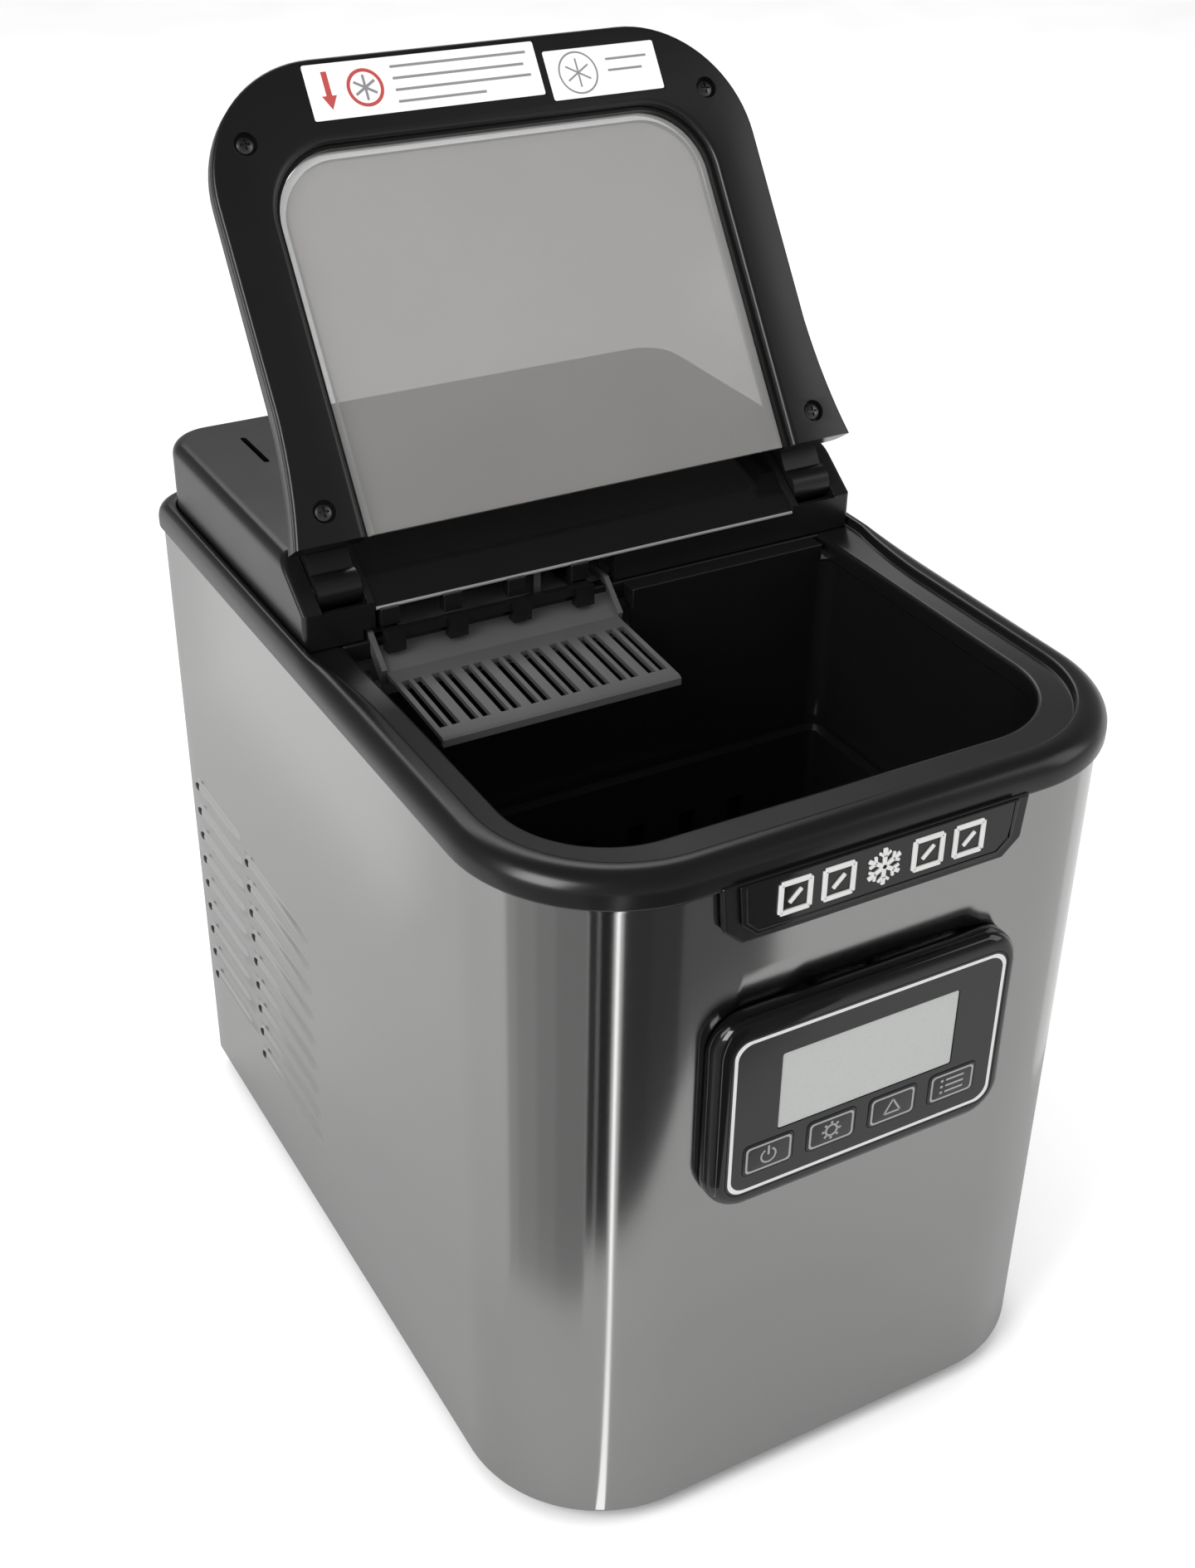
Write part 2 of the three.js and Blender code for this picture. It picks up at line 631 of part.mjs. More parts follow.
function lid(parent) {
  const hinged = new THREE.Group();
  hinged.position.set(0, AXIS.y, AXIS.z);
  hinged.rotation.x = THREE.MathUtils.degToRad(-LID.open);
  parent.add(hinged);
  add(hinged, "lid_inner_frame", lidInnerFrame(), SATIN_BLACK);
  add(hinged, "lid_shell", lidShell(), SATIN_BLACK);
  add(hinged, "lid_window", lidWindow(), SMOKE);
  const face = -LID.drop;
  const screw = [[0, 0.4], [3.6, 0.4], [3.6, 2], [1.6, 2], [1.6, 7.2], [0, 7.2]];
  lidScrewPlaces().forEach(([x, y], index) =>
    add(hinged, `lid_screw_${index + 1}`, turned(screw, 8), CHROME).position.set(x, y, face),
  );
  for (const [side, x0, x1, y0, y1] of labelPlaces())
    add(hinged, `lid_label_${side}`, block(x0, x1, y0, y1, face + 0.05, face + 0.5), PAPER);
}

// ---- Assembly ----
function iceMaker() {
  const whole = new THREE.Group();
  feet(whole);
  add(whole, "base_pan", basePan(), SATIN_BLACK);
  add(whole, "steel_wrap", steelWrap(), STEEL);
  add(whole, "rear_panel", rearPanel(), SATIN_BLACK);
  panelScrews(whole);
  add(whole, "top_rim", topRim(), SATIN_BLACK);
  add(whole, "name_plate", namePlate(), GLOSS_BLACK);
  controls(whole);
  add(whole, "bin_liner", binLiner(), SATIN_BLACK);
  add(whole, "ice_basket", iceBasket(), SATIN_BLACK);
  add(whole, "ice_slide", iceSlide(), GRAY_PLASTIC);
  add(whole, "ice_rake", iceRake(), SATIN_BLACK);
  add(whole, "sensor_bracket", sensorBracket(), GRAY_PLASTIC);
  add(whole, "chamber", chamber(), PALE_PLASTIC);
  add(whole, "water_tray", waterTray(), PALE_PLASTIC);
  add(whole, "evaporator", evaporator(), COPPER);
  add(whole, "tray_motor", trayMotor(), SATIN_BLACK);
  add(whole, "compressor", compressor(), SATIN_BLACK).position.set(COMPRESSOR.x, COMPRESSOR.y, 0);
  add(whole, "condenser", condenser(), ALUMINIUM);
  add(whole, "fan_shroud", fanShroud(), SATIN_BLACK);
  add(whole, "fan_blades", fanBlades(), PALE_PLASTIC);
  add(whole, "fan_motor", fanMotor(), SATIN_BLACK);
  add(whole, "refrigerant_pipe", refrigerantPipe(), COPPER);
  add(whole, "water_pump", waterPump(), PALE_PLASTIC);
  add(whole, "pump_hose", pumpHose(), RUBBER);
  add(whole, "drain_hose", drainHose(), RUBBER);
  const plug = add(whole, "drain_plug", drainPlug(), RUBBER);
  plug.position.set(DRAIN.x, 168.4, DRAIN.z);
  plug.rotation.x = -Math.PI / 2;
  const gland = add(whole, "cord_gland", cordGland(), SATIN_BLACK);
  gland.position.set(CORD.x, REAR.outer + GAP, CORD.z);
  gland.rotation.x = -Math.PI / 2;
  add(whole, "rear_cover", rearCover(), SATIN_BLACK);
  for (const [side, x0] of [["left", -115], ["right", 92]])
    add(whole, `hinge_pin_${side}`, rod("x", KNUCKLE.pin, x0, x0 + 23, [AXIS.y, AXIS.z]), CHROME);
  lid(whole);
  return whole;
}

export default iceMaker();
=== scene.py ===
"""A countertop ice maker with its lid open: its fine pieces, their materials and the studio.

Lengths are written in millimetres and turned into metres when a mesh is made. The camera, the lamps
and the floor are placed in metres.
"""

import json
import math

import bmesh
import bpy
from mathutils import Matrix, Vector

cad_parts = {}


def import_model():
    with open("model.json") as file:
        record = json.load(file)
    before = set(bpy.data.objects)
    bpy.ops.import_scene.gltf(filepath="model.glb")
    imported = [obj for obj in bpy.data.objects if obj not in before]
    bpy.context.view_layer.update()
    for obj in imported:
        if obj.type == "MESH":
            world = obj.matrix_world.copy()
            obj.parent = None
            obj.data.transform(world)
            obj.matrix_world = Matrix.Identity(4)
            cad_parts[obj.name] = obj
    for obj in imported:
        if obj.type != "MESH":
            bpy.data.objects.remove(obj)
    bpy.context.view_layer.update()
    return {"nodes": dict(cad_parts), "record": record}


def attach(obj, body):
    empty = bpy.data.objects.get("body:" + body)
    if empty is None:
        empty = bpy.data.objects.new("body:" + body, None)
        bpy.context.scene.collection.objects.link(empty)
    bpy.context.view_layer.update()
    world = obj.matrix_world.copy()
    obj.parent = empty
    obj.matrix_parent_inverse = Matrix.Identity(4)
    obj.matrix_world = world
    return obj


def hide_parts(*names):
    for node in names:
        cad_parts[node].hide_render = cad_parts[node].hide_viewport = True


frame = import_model()

MM = 0.001
AXIS_Y, AXIS_Z = 27.3, 312.3  # the lid's hinge line
LID_OPEN = 124.7  # degrees from closed
LID_FACE = -18.3  # the lid's inner face, below the hinge line when closed
LID_END, LID_HALF, LID_FLARE, LID_FAR, LID_ROUND = -13.4, 112.2, 118.6, -186.4, 48
WINDOW_HALF, WINDOW_FAR, WINDOW_ROUND = 91.5, -155.4, 28
WRAP_HALF, WRAP_FRONT, WRAP_BACK, WRAP_ROUND = 122.5, -169, 169, 55.6
PANEL_Y, PANEL_Z, PANEL_DEPTH = -169.3, 195.7, 8.5
LOUVRE_COLUMNS = ((28, 94.5, 55), (101, 153.5, 60.5))  # front end, rear end, lowest row
LOUVRE_ROWS, LOUVRE_PITCH, LOUVRE_RISE, LOUVRE_HALF = 9, 13, 1.3, 3.4
LOUVRE_SLOPE, LOUVRE_CROWN = 14, 1.3  # the length of a louvre's slope, and how narrow its crown is
FLANGE_ROUND = 6.5  # the wrap's bend into its rear flange
HOLE_HALF, HOLE_LOW, HOLE_HIGH = 48, 168, 222  # the wrap's opening behind the control panel
LABELS = (("left", -68, 26, -184, -163.2), ("right", 29, 77.5, -179.5, -160.2))
BUTTONS = ("power", "set", "up", "select")
LID_SCREWS = ((-96, -158.4), (96, -158.4), (-104.5, -25), (104.5, -25))
RAKE_TEETH = (-85.8, -60.5, -34, -7)  # the middle of each tooth
MOTIF_Z, CUBE_HALF = 279, 5.5  # the raised marks on the plate
KEY_MIDDLE, KEY_TOP = -19.2, 0.42  # a key's height in the panel, and its rise out of the film

IN_LID = (
    Matrix.Translation((0, AXIS_Y, AXIS_Z))
    @ Matrix.Rotation(math.radians(-LID_OPEN), 4, "X")
)
# The control panel's own frame: x to the right, y up and z out of the front.
IN_PANEL = Matrix.Translation((0, PANEL_Y, PANEL_Z)) @ Matrix.Rotation(math.pi / 2, 4, "X")
UPRIGHT = Matrix.Identity(4)


# ---- Materials ----
class Look:
    """A node material built up from a Principled shader."""

    def __init__(self, name, color, rough, metal=0.0):
        self.material = bpy.data.materials.new(name)
        self.material.use_nodes = True
        self.tree = self.material.node_tree
        self.shader = self.tree.nodes["Principled BSDF"]
        self.shader.inputs["Base Color"].default_value = (*color, 1)
        self.shader.inputs["Roughness"].default_value = rough
        self.shader.inputs["Metallic"].default_value = metal
        self.color, self.rough = color, rough
        self.place = self.node("ShaderNodeTexCoord").outputs["Object"]

    def node(self, kind, **values):
        made = self.tree.nodes.new(kind)
        for key, value in values.items():
            setattr(made, key, value)
        return made

    def link(self, source, node, socket):
        self.tree.links.new(source, node.inputs[socket])

    def noise(self, scale, stretch=(1, 1, 1), detail=3.0):
        mapping = self.node("ShaderNodeMapping")
        mapping.inputs["Scale"].default_value = stretch
        self.link(self.place, mapping, "Vector")
        noise = self.node("ShaderNodeTexNoise")
        noise.inputs["Scale"].default_value = scale
        noise.inputs["Detail"].default_value = detail
        self.link(mapping.outputs[0], noise, "Vector")
        return noise.outputs["Fac"]

    def spread(self, source, low, high, start=0.3, end=0.7):
        node = self.node("ShaderNodeMapRange")
        node.inputs["From Min"].default_value = start
        node.inputs["From Max"].default_value = end
        node.inputs["To Min"].default_value = low
        node.inputs["To Max"].default_value = high
        self.link(source, node, "Value")
        return node.outputs["Result"]

    def vary_rough(self, source, amount):
        low, high = self.rough * (1 - amount), self.rough * (1 + amount)
        self.link(self.spread(source, low, high), self.shader, "Roughness")

    def vary_color(self, source, amount):
        ramp = self.node("ShaderNodeValToRGB")
        dark = [c * (1 - amount) for c in self.color]
        light = [min(1, c * (1 + amount)) for c in self.color]
        for stop, place, color in zip(ramp.color_ramp.elements, (0.3, 0.7), (dark, light)):
            stop.position = place
            stop.color = (*color, 1)
        self.link(source, ramp, "Fac")
        self.link(ramp.outputs["Color"], self.shader, "Base Color")

    def bump(self, source, strength, depth):
        node = self.node("ShaderNodeBump")
        node.inputs["Strength"].default_value = strength
        node.inputs["Distance"].default_value = depth * MM
        self.link(source, node, "Height")
        self.link(node.outputs["Normal"], self.shader, "Normal")

    def set(self, **values):
        for key, value in values.items():
            self.shader.inputs[key.replace("_", " ")].default_value = value
        return self


def moulded(name, color, rough, grain=0.12, scale=1400, vary=0.12, coat=0.0):
    """Moulded plastic, print or paint: a fine grain, with faint patches of gloss and colour."""
    look = Look(name, color, rough)
    look.bump(look.noise(scale, detail=2), grain, 0.05)
    look.vary_rough(look.noise(45), 0.05)
    look.vary_color(look.noise(22), vary / 2)
    look.set(Coat_Weight=coat, Coat_Roughness=0.08)
    return look.material


def brushed(name, color, rough, stretch, anisotropic=0.0, turn=0.0, depth=0.05):
    """Metal with fine lines: stretch is small along the lines."""
    look = Look(name, color, rough, 1.0)
    lines = look.noise(900, stretch, 2)
    look.vary_rough(lines, 2 * depth)
    look.vary_color(look.noise(16, stretch), depth)
    look.bump(lines, depth, 0.02)
    look.set(Anisotropic=anisotropic, Anisotropic_Rotation=turn)
    return look.material


def smoke(name, color, alpha, rough):
    """Tinted clear plastic, seen through by its alpha."""
    look = Look(name, color, rough)
    look.vary_color(look.noise(9), 0.04)
    look.vary_rough(look.noise(60), 0.2)
    look.set(Alpha=alpha, IOR=1.49)
    return look.material


def unlit_screen(name):
    """An unlit liquid crystal: pale film with its fine rows of cells."""
    look = Look(name, (0.36, 0.37, 0.36), 0.2)
    look.vary_color(look.noise(2600, detail=0), 0.03)
    look.vary_rough(look.noise(30), 0.2)
    look.set(Coat_Weight=0.7, Coat_Roughness=0.04)
    return look.material


STEEL = brushed("satin_stainless", (0.4, 0.398, 0.394), 0.145, (0.02, 0.02, 1), 0.75, 0.25, 0.02)
SATIN = moulded("satin_black_plastic", (0.006, 0.006, 0.0063), 0.26, 0.08)
GLOSS = moulded("gloss_black_plastic", (0.004, 0.004, 0.0043), 0.1, 0.02, 500, coat=0.2)
LINER = moulded("black_liner_plastic", (0.006, 0.006, 0.0065), 0.22, 0.06, 900)
LIDBLACK = moulded("lid_black_plastic", (0.006, 0.006, 0.0063), 0.3, 0.08, 1200)
GRAY = moulded("gray_plastic", (0.06, 0.06, 0.061), 0.38, 0.1)
# Painted highlight: a gray far paler than the black plastic, standing in for the light on a rounded edge.
PAINTED_HIGHLIGHT = moulded("painted_highlight_edge", (0.2, 0.2, 0.2), 0.15, 0.02)
LID_SCREW = brushed("dark_zinc_plate", (0.12, 0.12, 0.12), 0.35, (1, 1, 0.2))
PALE = moulded("pale_plastic", (0.5, 0.52, 0.52), 0.45, 0.1)
RUBBER = moulded("rubber", (0.015, 0.015, 0.015), 0.75, 0.3, 700)
FILM = moulded("panel_film", (0.016, 0.016, 0.0175), 0.2, 0.04, 2200)
PRINT = moulded("silver_print", (0.55, 0.55, 0.54), 0.4, 0.05, 2500, 0.05)
DIM_PRINT = moulded("gray_print", (0.26, 0.26, 0.26), 0.4, 0.05, 2500, 0.05)
PAPER = moulded("label_film", (0.72, 0.71, 0.7), 0.5, 0.04, 900, 0.03)
GRAY_INK = moulded("gray_ink", (0.2, 0.2, 0.21), 0.6, 0.04, 900)
RED_INK = moulded("red_ink", (0.42, 0.05, 0.045), 0.6, 0.04, 900)
REAR_PAINT = moulded("textured_black_paint", (0.02, 0.02, 0.021), 0.55, 0.5, 500)
BLACK_PAINT = moulded("black_enamel", (0.012, 0.012, 0.012), 0.3, 0.08, 300)
CHROME = brushed("zinc_plate", (0.6, 0.6, 0.61), 0.22, (1, 1, 0.2))
NICKEL = brushed("nickel_plate", (0.55, 0.52, 0.48), 0.25, (1, 1, 0.1))
ALUMINIUM = brushed("aluminium_fins", (0.6, 0.61, 0.62), 0.38, (0.05, 1, 1))
COPPER = brushed("copper_tube", (0.62, 0.3, 0.17), 0.28, (1, 1, 0.1))
BOARD = moulded("solder_mask", (0.02, 0.1, 0.045), 0.4, 0.1, 300)
SCREEN = unlit_screen("display_film")
SMOKE = smoke("smoke_acrylic", (0.23, 0.226, 0.219), 0.68, 0.1)
# A paler copy of the smoke acrylic: a painted highlight for the lit edge of the pane.
PANE_EDGE_HIGHLIGHT = smoke("smoke_acrylic_painted_highlight", (0.4, 0.4, 0.39), 0.55, 0.15)
# Painted shade: near black where an opening or slot would show only its shadowed inside.
PAINTED_SHADE = moulded("painted_opening_shade", (0.004, 0.004, 0.004), 0.7)

SLOT_LOOKS = {
    "stainless": STEEL, "satin_black": SATIN, "gloss_black": GLOSS, "rear_paint": REAR_PAINT,
    "overlay": FILM, "display": SCREEN, "board": BOARD, "liner": LINER, "basket": LINER,
    "gray_plastic": GRAY, "pale_plastic": PALE, "nickel": NICKEL, "black_paint": BLACK_PAINT,
    "aluminium": ALUMINIUM, "copper": COPPER, "rubber": RUBBER, "chrome": CHROME,
    "smoke_window": SMOKE, "label_paper": PAPER,
}


# ---- Mesh helpers ----
def make(name, verts, faces, body, slot, look, place=UPRIGHT, sharp=38, stands_for=()):
    """A piece from points in millimetres, with smooth shading up to the sharp angle."""
    mesh = bpy.data.meshes.new(name)
    mesh.from_pydata([(place @ Vector(v)) * MM for v in verts], [], faces)
    tidy = bmesh.new()
    tidy.from_mesh(mesh)
    bmesh.ops.recalc_face_normals(tidy, faces=tidy.faces)
    tidy.to_mesh(mesh)
    tidy.free()
    piece = bpy.data.objects.new(name, mesh)
    bpy.context.scene.collection.objects.link(piece)
    mesh.materials.append(look)
    shade(mesh, sharp)
    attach(piece, body)
    if stands_for:
        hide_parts(*stands_for)
    return piece


def shade(mesh, sharp):
    mesh.shade_smooth()
    mesh.set_sharp_from_angle(angle=math.radians(sharp))


def soften(piece, width, segments=3, angle=40):
    """Rounds the edges that are sharper than the angle."""
    bevel = piece.modifiers.new("rounded_edges", "BEVEL")
    bevel.width = width * MM
    bevel.segments = segments
    bevel.limit_method = "ANGLE"
    bevel.angle_limit = math.radians(angle)
    bevel.harden_normals = False
    normals = piece.modifiers.new("flat_faces_stay_flat", "WEIGHTED_NORMAL")
    normals.keep_sharp = False
    piece.data.shade_smooth()
    return piece


def loft(rings, closed=False):
    """Faces between rings of the same number of points; the end rings are capped."""
    count = len(rings[0])
    verts = [point for ring in rings for point in ring]
    faces = []
    last = len(rings) if closed else len(rings) - 1
    for i in range(last):
        a, b = i * count, (i + 1) % len(rings) * count
        for k in range(count):
            j = (k + 1) % count
            faces.append((a + k, a + j, b + j, b + k))
    if not closed:
        faces.append(tuple(range(count)))
        faces.append(tuple(range(last * count, last * count + count)))
    return verts, faces


def arc(cx, cy, radius, start, end, steps):
    turn = [math.radians(start + (end - start) * k / steps) for k in range(steps + 1)]
    return [(cx + radius * math.cos(a), cy + radius * math.sin(a)) for a in turn]


def rounded(x0, x1, y0, y1, front, back=None, steps=10):
    back = front if back is None else back
    return (
        arc(x1 - front, y0 + front, front, -90, 0, steps)
        + arc(x1 - back, y1 - back, back, 0, 90, steps)
        + arc(x0 + back, y1 - back, back, 90, 180, steps)
        + arc(x0 + front, y0 + front, front, 180, 270, steps)
    )


def level(points, z):
    return [(x, y, z) for x, y in points]


def mix(a, b, u):
    return [(p[0] + (q[0] - p[0]) * u, p[1] + (q[1] - p[1]) * u) for p, q in zip(a, b)]


def slab(points, z0, z1):
    return loft([level(points, z0), level(points, z1)])


def side_slab(points, x0, x1):
    """A side view of points (y, z), drawn from x0 to x1."""
    return loft([[(x, y, z) for y, z in points] for x in (x0, x1)])


def box(x0, x1, y0, y1, z0, z1):
    return slab([(x0, y0), (x1, y0), (x1, y1), (x0, y1)], z0, z1)


def several(*solids):
    """Several closed solids as one list of points and faces."""
    verts, faces = [], []
    for points, sides in solids:
        faces += [tuple(index + len(verts) for index in side) for side in sides]
        verts += points
    return verts, faces


def tube(points, radius, steps=10, closed=False):
    """A round wire through points, with flat ends."""
    path = [Vector(p) for p in points]
    rings = []
    for i, p in enumerate(path):
        before = path[i - 1] if closed or i else p
        after = path[(i + 1) % len(path)] if closed or i + 1 < len(path) else p
        along = (after - before).normalized()
        across = along.cross(Vector((0, 0, 1)))
        if across.length < 0.1:
            across = along.cross(Vector((1, 0, 0)))
        across.normalize()
        up = across.cross(along)
        angles = [math.tau * k / steps for k in range(steps)]
        rings.append([tuple(p + (across * math.cos(a) + up * math.sin(a)) * radius) for a in angles])
    return loft(rings, closed)


def turned(profile, steps=40):
    """A solid of revolution about Z from points (radius, z), with both ends capped."""
    turns = [math.tau * k / steps for k in range(steps)]
    rings = []
    for radius, z in profile:
        rings.append([(radius * math.cos(a), radius * math.sin(a), z) for a in turns])
    return loft(rings)


def carve(piece, cutters, operation="DIFFERENCE", sharp=38):
    """Cuts solids out of a piece, or joins them to it, and keeps the result as its mesh."""
    for index, (verts, faces) in enumerate(cutters):
        tool = make(f"tool_{index}", verts, faces, "case", "satin_black", SATIN)
        cut = piece.modifiers.new("cut", "BOOLEAN")
        cut.operation = operation
        cut.solver = "EXACT"
        cut.object = tool
        bpy.context.view_layer.update()
        ready = piece.evaluated_get(bpy.context.evaluated_depsgraph_get())
        mesh = bpy.data.meshes.new_from_object(ready)
        piece.modifiers.remove(cut)
        bpy.data.objects.remove(tool)
        piece.data = mesh
    shade(piece.data, sharp)
    return piece


# ---- Steel wrap ----
def spaced(start, end, step):
    count = max(1, round((end - start) / step))
    return [start + (end - start) * k / count for k in range(count + 1)]


def louvre_rise(y, z):
    """How far a pressed louvre stands out of the sheet at a place on the side."""
    for front, rear, lowest in LOUVRE_COLUMNS:
        if not front <= y <= rear:
            continue
        row = round((z - lowest) / LOUVRE_PITCH)
        if not 0 <= row < LOUVRE_ROWS:
            return 0
        across = min(1, abs(z - lowest - row * LOUVRE_PITCH) / LOUVRE_HALF)
        along = min(1, (y - front) / LOUVRE_SLOPE)
        crown = max(0, math.cos(across * math.pi / 2)) ** LOUVRE_CROWN
        return LOUVRE_RISE * crown * math.sin(along * math.pi / 2)
    return 0


def wrap_path():
    """Half of the wrap in plan, from the middle of the front round to the rear flange: x, y, normal."""
    corner_x, corner_y = WRAP_HALF - WRAP_ROUND, WRAP_FRONT + WRAP_ROUND
    path = [(x, WRAP_FRONT, 0, -1) for x in (0, HOLE_HALF / 2, HOLE_HALF, 56)]
    for k in range(33):
        a = math.radians(-90 + 90 * k / 32)
        n = (math.cos(a), math.sin(a))
        path.append((corner_x + WRAP_ROUND * n[0], corner_y + WRAP_ROUND * n[1], *n))
    ys = [-90, -50, -10, 20]
    for front, rear, _ in LOUVRE_COLUMNS:
        ys += [front - 0.5] + spaced(front, front + 16, 1.6) + spaced(front + 20, rear - 4, 8)
        ys += [rear - 0.6, rear, rear + 0.1]
    path += [(WRAP_HALF, y, 1, 0) for y in ys]
    bend_x, bend_y = WRAP_HALF - FLANGE_ROUND, WRAP_BACK - FLANGE_ROUND
    for k in range(9):
        a = math.radians(90 * k / 8)
        n = (math.cos(a), math.sin(a))
        path.append((bend_x + FLANGE_ROUND * n[0], bend_y + FLANGE_ROUND * n[1], *n))
    path.append((110.5, WRAP_BACK, 0, 1))
    return path


def wrap_heights():
    """The heights of the wrap's rows of points, close together over the louvres."""
    zs = {8, 8.6, 9.4, 30, HOLE_LOW, 190, HOLE_HIGH, 250, 284, 285.4, 286}
    for _, _, lowest in LOUVRE_COLUMNS:
        for row in range(LOUVRE_ROWS):
            middle = lowest + row * LOUVRE_PITCH
            zs |= {round(middle + k * LOUVRE_HALF / 4, 2) for k in range(-5, 6)}
    return sorted(zs)


def steel_wrap():
    """The sheet round the left side, front and right side, with its louvres pressed outwards."""
    half = wrap_path()
    path = [(-x, y, -nx, ny) for x, y, nx, ny in half[:0:-1]] + half
    heights = wrap_heights()
    verts, faces, dark = [], [], []
    for x, y, nx, ny in path:
        for z in heights:
            rise = louvre_rise(y, z) if abs(nx) == 1 else 0
            curl = -0.5 if z in (heights[0], heights[-1]) else 0
            verts.append((x + nx * (rise + curl), y + ny * (rise + curl), z))
    rows = len(heights)
    # The end wall of each louvre gets painted shade: black in place of the shadowed inside of its opening.
    rear_ends = [rear for _, rear, _ in LOUVRE_COLUMNS]
    for i in range(len(path) - 1):
        (x0, y0, nx, _), (x1, y1, *_) = path[i], path[i + 1]
        at_end = any(min(abs(y0 - rear), abs(y1 - rear)) < 0.01 for rear in rear_ends)
        end_wall = abs(nx) == 1 and at_end and abs(y1 - y0) < 0.2
        behind_panel = y0 == WRAP_FRONT == y1 and max(abs(x0), abs(x1)) <= HOLE_HALF
        for j in range(rows - 1):
            if behind_panel and HOLE_LOW <= heights[j] < HOLE_HIGH:
                continue
            a = i * rows + j
            faces.append((a, a + 1, a + rows + 1, a + rows))
            middle = (heights[j] + heights[j + 1]) / 2
            dark.append(end_wall and louvre_rise(min(y0, y1), middle) > 0.1)
    piece = make("wrap_sheet", verts, faces, "case", "stainless", STEEL, sharp=50, stands_for=["steel_wrap"])
    piece.data.materials.append(PAINTED_SHADE)
    piece.data.polygons.foreach_set("material_index", [int(d) for d in dark])
    sheet = piece.modifiers.new("sheet", "SOLIDIFY")
    sheet.thickness = 0.8 * MM
    sheet.offset = -1


def louvre_mouths_painted_shade():
    """A dark oval at the rear end of every louvre, standing for its opening: painted shade for the shadowed
    inside of the slot.
    """
    turns = [math.tau * k / 14 for k in range(14)]
    ovals = []
    for side in (-1, 1):
        for _, rear, lowest in LOUVRE_COLUMNS:
            for row in range(LOUVRE_ROWS):
                z, middle = lowest + row * LOUVRE_PITCH, rear - 1.8
                rings = []
                for share, depth in ((1, 0.2), (1, 1.2), (0.8, 1.4), (0.4, 1.5)):
                    x = side * (WRAP_HALF + depth)
                    along, up = 2.3 * share, 1.7 * share
                    rings.append([(x, middle + along * math.cos(a), z + up * math.sin(a)) for a in turns])
                ovals.append(loft(rings))
    make("louvre_mouths_painted_shade", *several(*ovals), "case", "satin_black", PAINTED_SHADE)


# ---- Top rim ----
SIDE_STEPS = 8


def flare(t, half=LID_HALF, flare_half=LID_FLARE):
    """The lid's side near its hinge end: t runs from the hinge end, 0, forward to 1."""
    x = (1 - t) ** 2 * flare_half + 2 * t * (1 - t) * (half + 1) + t**2 * half
    return x, LID_END - 44 * t - 4 * t * t


def rim_loop(half, front, back, front_round, back_round, side=None):
    """A closed outline: side gives x at the flare's stations, and half elsewhere."""
    stations = [flare(1 - k / SIDE_STEPS) for k in range(SIDE_STEPS + 1)]
    right = [(side(x) if side else half, y + AXIS_Y) for x, y in stations]
    right.append((right[-1][0], 16.7))
    rear = right[-1][0]
    back_right = arc(rear - back_round, back - back_round, back_round, 0, 90, 10)
    front_right = arc(half - front_round, front + front_round, front_round, -90, 0, 24)
    one_side = front_right + right + back_right
    return one_side + [(-x, y) for x, y in reversed(one_side)]


def rim():
    """The top rim with its seat for the lid, the bridge behind the bin and the tab at the front."""
    outer = rim_loop(125, -171.6, 171.6, 58, 12)
    seat = rim_loop(114.2, -161.1, 168.5, 50, 18.5, lambda x: min(x + 2, 119.5))
    opening = rim_loop(104, -145.5, 158, 38, 20)
    rings = []
    for u, z in ((0.3, 286.3), (0.06, 286.3), (0.015, 286.6), (0, 287.3), (0, 290)):
        rings.append(level(mix(outer, seat, u), z))
    for k in range(1, 10):
        a = math.radians(10 * k)
        rings.append(level(mix(outer, seat, 0.72 * (1 - math.cos(a))), 290 + 7.5 * math.sin(a)))
    for u, z in ((0.9, 297.45), (0.96, 297.3), (0.99, 296.9), (1, 296.4), (1, 294.2)):
        rings.append(level(mix(outer, seat, u), z))
    ledge = ((0.02, 293.9), (0.05, 293.8), (0.86, 293.8), (0.93, 293.6), (0.98, 293), (1, 291.8), (1, 286.3))
    for u, z in ledge:
        rings.append(level(mix(seat, opening, u), z))
    make("rim_ring", *loft(rings, True), "case", "satin_black", SATIN, sharp=60, stands_for=["top_rim"])
    bridge = make("rim_bridge", *box(-104.5, 104.5, 16.2, 21.8, 286.3, 293.7), "case", "satin_black", SATIN)
    soften(bridge, 0.8)
    tab = [(-60, 288), (-58.5, 271), (-51.5, 264.6), (51.5, 264.6), (58.5, 271), (60, 288)]
    hanging = make("rim_tab", *front_slab(tab, -169.3, -172.6), "case", "satin_black", SATIN)
    soften(hanging, 1.1, 4, 30)


def front_slab(points, y0, y1):
    """A front view of points (x, z), drawn from y0 to y1."""
    return loft([[(x, y, z) for x, z in points] for y in (y0, y1)])


def name_plate():
    plate = [(-54.5, 288), (-53, 273), (-47.5, 267.8), (47.5, 267.8), (53, 273), (54.5, 288)]
    shape = front_slab(plate, -172.9, -174.1)
    body = make("plate", *shape, "case", "gloss_black", GLOSS, stands_for=["name_plate"])
    soften(body, 0.5, 3, 30)
    line = [(-52.6, 287.4), (-51.4, 273.8), (-46.8, 269.6), (46.8, 269.6), (51.4, 273.8), (52.6, 287.4)]
    make("plate_line", *tube([(x, -174.15, z) for x, z in line], 0.3), "case", "gloss_black", SATIN)
    motif = make("plate_motif", *ice_motif(), "case", "chrome", PRINT)
    soften(motif, 0.25, 2)


def bar_on_front(x0, z0, x1, z1, width, y0=-174.0, y1=-174.9):
    """A flat bar on the plate between two points."""
    along = Vector((x1 - x0, z1 - z0)).normalized()
    side = Vector((-along.y, along.x)) * width / 2
    corners = [
        (x0 + side.x, z0 + side.y), (x1 + side.x, z1 + side.y),
        (x1 - side.x, z1 - side.y), (x0 - side.x, z0 - side.y),
    ]
    return front_slab(corners, y0, y1)


